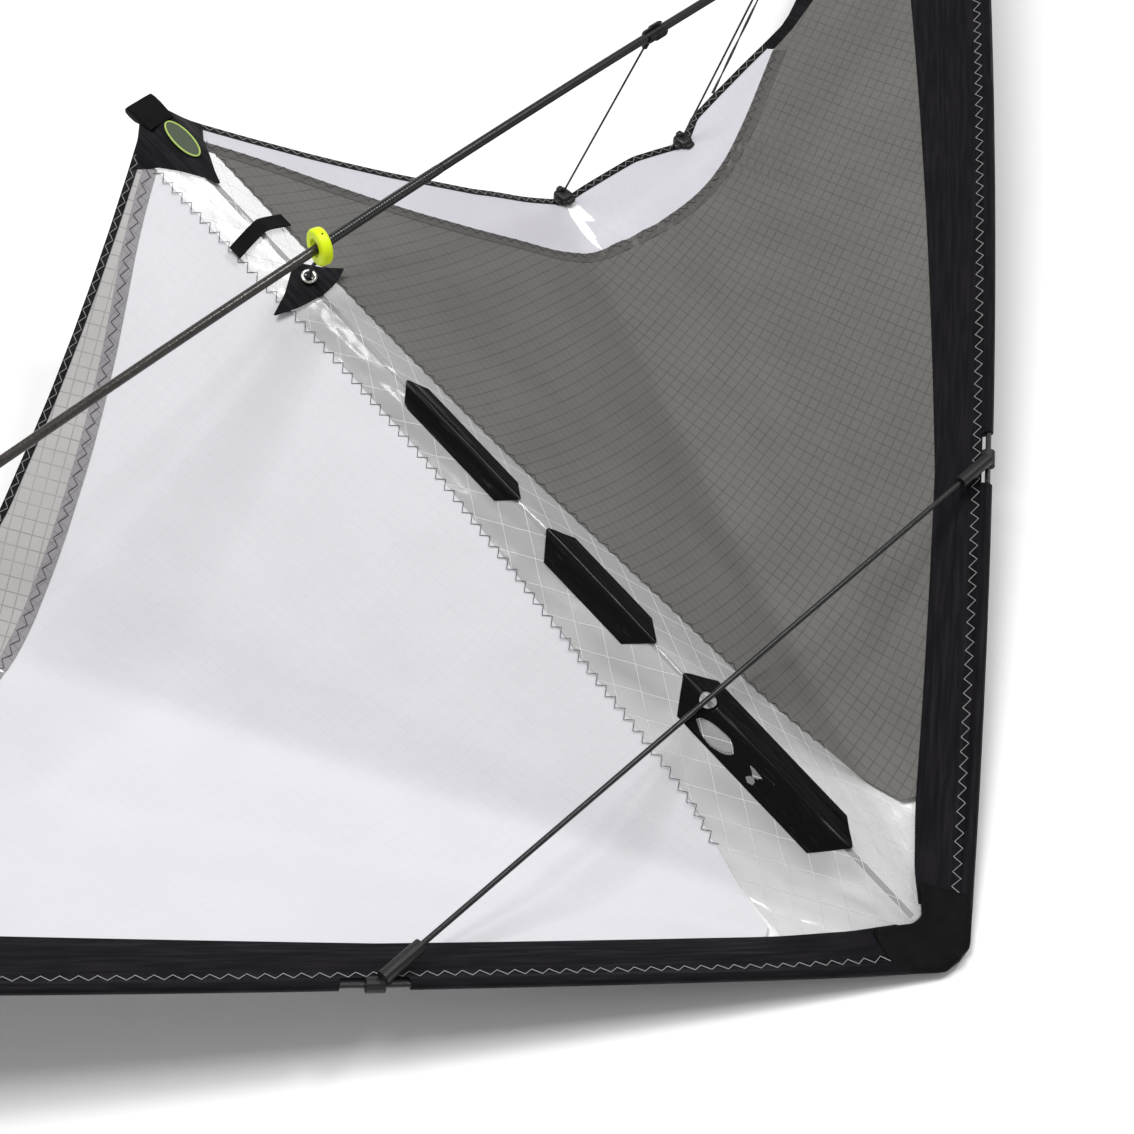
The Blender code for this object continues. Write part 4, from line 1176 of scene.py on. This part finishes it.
def make_badge(paints):
    """A bare oval of embroidery with a bound rim, long side along the spine."""
    centre, half_x, half_y = Vector((-1.5, -507.3)), 4.3, 10.9
    height = 2.3
    points, uv, faces = [], [], []
    rings, sides = 7, 56
    for layer in (0.0, -0.5):
        for j in range(1, rings + 1):
            for k in range(sides):
                turn = 2.0 * math.pi * k / sides
                plan = centre + Vector((half_x * math.cos(turn), half_y * math.sin(turn))) * (j / rings)
                dome = 0.3 * (1.0 - (j / rings)**2)
                points.append(Vector((plan.x, plan.y, height + layer + (dome if not layer else 0.0))))
                uv.append((plan.x / 10.0, plan.y / 10.0))
    block = rings * sides
    for half in (0, 1):
        for j in range(rings - 1):
            for k in range(sides):
                a, b = half * block + j * sides + k, half * block + j * sides + (k + 1) % sides
                quad = (a, a + sides, b + sides, b)
                faces.append(quad if not half else tuple(reversed(quad)))
        middle = tuple(half * block + k for k in range(sides))
        faces.append(tuple(reversed(middle)) if half else middle)
    outer = (rings - 1) * sides
    for k in range(sides):
        a, b = outer + k, outer + (k + 1) % sides
        faces.append((b, a, a + block, b + block))
    badge = make("plain_oval_badge", points, faces, paints["badge"], 1.0, uv)
    path = []
    for k in range(72):
        turn = 2.0 * math.pi * k / 72
        path.append(Vector((centre.x + half_x * math.cos(turn), centre.y + half_y * math.sin(turn), height)))
    rim = tube("oval_badge_rim", path, 0.42, paints["badge_rim"], sides=8, closed=True)
    return badge, rim


def make_tab(paints):
    """Webbing sewn over the spine, arched between its turned ends."""
    low, high, half = -455.2, -448.0, 15.5
    top, under, uv = [], [], []
    columns, rows = 41, 9
    for j, y in enumerate(span(low, high, rows)):
        for i, share in enumerate(span(-1.0, 1.0, columns)):
            x = half * share
            arch = 1.4 * (math.cos(math.pi * share) + 1.0) / 2.0
            y_bend = y + 1.2 * share**2
            z = sail_z(x, y_bend) * 0.72 + 1.0 + arch
            top.append(Vector((x, y_bend, z + 0.35)))
            under.append(Vector((x, y_bend, z - 0.35)))
            uv.append((x / 10.0, y / 10.0))
    tab = make("webbing_strap", top + under, sheet_faces(rows, columns), paints["heavy"], 1.0, uv + uv)
    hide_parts("webbing_tab")
    return tab


def make_cap(paints):
    """Folded webbing over the end of the spine."""
    sections = ((-519.5, 6.6, 0.9, 0.7), (-523.5, 7.3, 1.4, 0.3), (-529.0, 7.8, 3.0, -1.2), (-533.0, 7.8, 3.1, -1.6),
                (-535.4, 7.7, 2.4, -1.8), (-536.0, 7.4, 1.2, -1.8))
    points, uv, faces = [], [], []
    sides = 36
    for y, half, tall, z in sections:
        for k in range(sides):
            turn = 2.0 * math.pi * k / sides
            x = half * signed_power(math.cos(turn), 0.3)
            h = tall * signed_power(math.sin(turn), 0.55)
            points.append(Vector((x, y, z + h)))
            uv.append((x / 10.0, (y + h * 0.6) / 10.0))
    for j in range(len(sections) - 1):
        for k in range(sides):
            a, b = j * sides + k, j * sides + (k + 1) % sides
            faces.append((a, b, b + sides, a + sides))
    faces.append(tuple(reversed(range(sides))))
    faces.append(tuple((len(sections) - 1) * sides + k for k in range(sides)))
    cap = make("spine_end_webbing", points, faces, paints["heavy"], 1.0, uv)
    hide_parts("tail_cap")
    return cap


# Frame and fittings

def make_rods(paints):
    """Smooth spreaders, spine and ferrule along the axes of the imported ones."""
    upper_reach = rod_axis(UPPER_S).x - 8.4
    ends = [Vector((x, OPENING_Y, 2.8)) for x in span(-upper_reach, upper_reach, 24)]
    upper = tube("upper_spreader_rod", ends, 1.25, paints["carbon"], sides=20)
    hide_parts("upper_spreader")
    spine_path = [Vector((0, y, SPINE_Z)) for y in span(-32.5, -527.7, 40)]
    spine = tube("spine", spine_path, 1.25, paints["carbon"], sides=20)
    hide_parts("spine_rod")
    reach = rod_axis(653.5).x + 3.6
    # The right rod takes the carbon finish with painted sheen.
    for name, start, stop, finish in (("right", 2.4, reach, "sheen_rod"), ("left", -75.4, -reach, "carbon")):
        path = [lower_axis(x) for x in span(start, stop, 60)]
        rod = tube(f"lower_spreader_rod_{name}", path, 2.2, paints[finish], sides=24)
        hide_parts(f"lower_spreader_{name}")
    path = [lower_axis(x) for x in span(-75.0, 2.0, 24)]
    radii = [2.2] + [2.38] * 22 + [2.2]
    ferrule = tube("braided_ferrule", path, 2.38, paints["braid"], sides=28, radii=radii)
    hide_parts("spreader_ferrule")


def make_centre(paints):
    """The yellow wheel: a fat rounded rim with a deep mouth on its right side."""
    half, radius, round_off = 2.7, 8.6, 1.5
    inner = half - round_off
    arc = span(0.0, math.pi / 2, 9)
    corner = [(inner + round_off * math.sin(a), radius - round_off + round_off * math.cos(a)) for a in arc]
    lip = [(half - 0.3 + 0.3 * math.cos(a), 4.5 - 0.4 * math.sin(a)) for a in span(0.0, math.pi / 2, 4)]
    profile = [(-x, r) for x, r in reversed(corner)] + corner + lip
    profile += [(half - 0.9, 4.0), (half - 1.4, 3.6), (half - 1.8, 3.0), (0.0, 2.75), (-half + 0.8, 3.1),
                (-half, 3.6)]
    wheel = turned("centre_wheel", profile, lower_axis(0.0), (math.cos(WHEEL_TURN), math.sin(WHEEL_TURN), 0.0),
                   paints["yellow"], sides=72)
    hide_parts("centre_t")
    axis = Vector((0.0, -0.12, 0.993)).normalized()
    top = lower_axis(0.0) + Vector((-0.3, 0.0, 0.0)) + axis * 8.55
    turned("wheel_pin", [(-0.6, 0.05), (0.28, 0.05), (0.3, 0.42), (-0.6, 0.42)], top, axis, paints["rubber"],
           sides=16)
    return wheel


def make_fittings(paints, name, side):
    """Rubber cradles of the standoff feet, clamped over the hem."""
    for (place, foot) in zip(("inner", "outer"), FEET):
        level = Matrix.Rotation(TILT, 3, "X")
        origin = on_sail(foot)
        shells = [rounded_block(origin + level @ Vector((0.0, 0.4, 0.8)), (4.0, 4.6, 2.8), level, 0.5),
                  rounded_block(origin + level @ Vector((0.0, -2.2, 3.1)), (1.9, 1.9, 2.3), level, 0.7),
                  rounded_block(origin + level @ Vector((-4.2, 0.6, 0.4)), (2.6, 2.2, 1.5), level, 0.6),
                  rounded_block(origin + level @ Vector((0.6, 4.4, 0.5)), (2.9, 2.4, 1.5), level, 0.6)]
        points, faces = gathered(shells)
        fitting = make(f"standoff_foot_{name}_{place}", points, faces, paints["rubber"], side)
        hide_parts(f"te_fitting_{name}_{place}")


def make_tension(paints, name, side):
    """The taut line from the hem to the wing tip, two strands side by side."""
    start = on_sail(FORK, 0.3) + Vector((0.5, -0.6, 0.0))
    end = rod_axis(866.0) + Vector((-3.5, -2.7, -1.2))
    strands = []
    for strand in (0.0, math.pi):
        path = []
        for t in span(0.0, 1.0, 180):
            turn = strand + t * 46.0
            path.append(start.lerp(end, t) + Vector((0.35 * math.cos(turn) * 0.6, 0.35 * math.cos(turn) * 0.8,
                                                     0.35 * math.sin(turn))))
        strands.append(path)
    first = tube(f"taut_line_{name}", strands[0], 0.42, paints["line"], side, sides=6)
    tube(f"taut_line_second_{name}", strands[1], 0.42, paints["line"], side, sides=6)
    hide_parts(f"tension_line_{name}")


def dress_nodes(paints):
    """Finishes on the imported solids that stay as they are."""
    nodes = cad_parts
    for name, node in nodes.items():
        if name.startswith(("c_clip_", "upper_connector_", "lower_connector_", "tip_nock_")):
            paint = "rubber"
        elif name.startswith(("standoff_", "le_rod_")):
            paint = "carbon"
        else:
            continue
        node.data.materials.clear()
        node.data.materials.append(paints[paint])


# Stage

def make_stage():
    size = 4.0
    mesh = bpy.data.meshes.new("studio_floor")
    corners = [(-size, -size, 0.0), (size, -size, 0.0), (size, size, 0.0), (-size, size, 0.0)]
    mesh.from_pydata([(x, y, -0.0002) for x, y, _ in corners], [], [(0, 1, 2, 3)])
    mesh.materials.append(floor_paint())
    floor = bpy.data.objects.new("studio_floor", mesh)
    bpy.context.scene.collection.objects.link(floor)


def add_light(name, place, aim, size, energy, colour=(1.0, 1.0, 1.0)):
    light = bpy.data.lights.new(name, "AREA")
    light.shape = "DISK"
    light.size = size
    light.energy = energy
    light.color = colour
    obj = bpy.data.objects.new(name, light)
    obj.location = place
    obj.rotation_euler = (Vector(aim) - Vector(place)).to_track_quat("-Z", "Y").to_euler()
    bpy.context.scene.collection.objects.link(obj)


def make_lights():
    world = bpy.data.worlds.new("soft_white")
    bpy.context.scene.world = world
    world.use_nodes = True
    background = world.node_tree.nodes["Background"]
    background.inputs["Color"].default_value = (1.0, 1.0, 1.0, 1.0)
    background.inputs["Strength"].default_value = 0.46
    add_light("key", (0.35, -0.62, 2.15), (0.0, 0.05, 0.05), 1.0, 33.0)
    add_light("side", (-1.1, 0.12, 2.1), (0.0, 0.05, 0.05), 0.45, 15.0)


def make_camera():
    """The photograph's view: the eye, its aim and its roll in kite coordinates."""
    forward = (AIM - EYE).normalized()
    level = forward.cross(Vector((0.0, 0.0, 1.0))).normalized()
    upright = level.cross(forward)
    right = level * math.cos(ROLL) + upright * math.sin(ROLL)
    up = upright * math.cos(ROLL) - level * math.sin(ROLL)
    turn = PLACE.to_3x3() @ Matrix((right, up, -forward)).transposed()
    camera = bpy.data.cameras.new("camera")
    camera.sensor_width = SENSOR
    camera.lens = FOCAL_PIXELS * SENSOR / PICTURE_PIXELS
    camera.clip_start = 0.05
    camera.clip_end = 50.0
    obj = bpy.data.objects.new("camera", camera)
    obj.matrix_world = Matrix.Translation(PLACE @ (EYE * MM)) @ turn.to_4x4()
    bpy.context.scene.collection.objects.link(obj)
    bpy.context.scene.camera = obj


def main():
    bpy.context.scene.view_settings.view_transform = "Standard"
    make_camera()
    make_stage()
    make_lights()
    paints = make_paints()
    film = make_film(paints)
    strips = make_spine_strips(paints)
    star, ring, tie, knot = make_star(paints)
    patch, badge, rim, tab, cap = make_tail(paints)
    make_rods(paints)
    make_centre(paints)
    make_nose(paints)
    for name, side in SIDES:
        make_panels(paints, name, side)
        tip = make_tip(paints, name, side)
        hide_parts(f"tip_patch_{name}")
        make_sleeve(paints, name, side)
        make_fittings(paints, name, side)
        make_tension(paints, name, side)
    dress_nodes(paints)
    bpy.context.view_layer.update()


main()
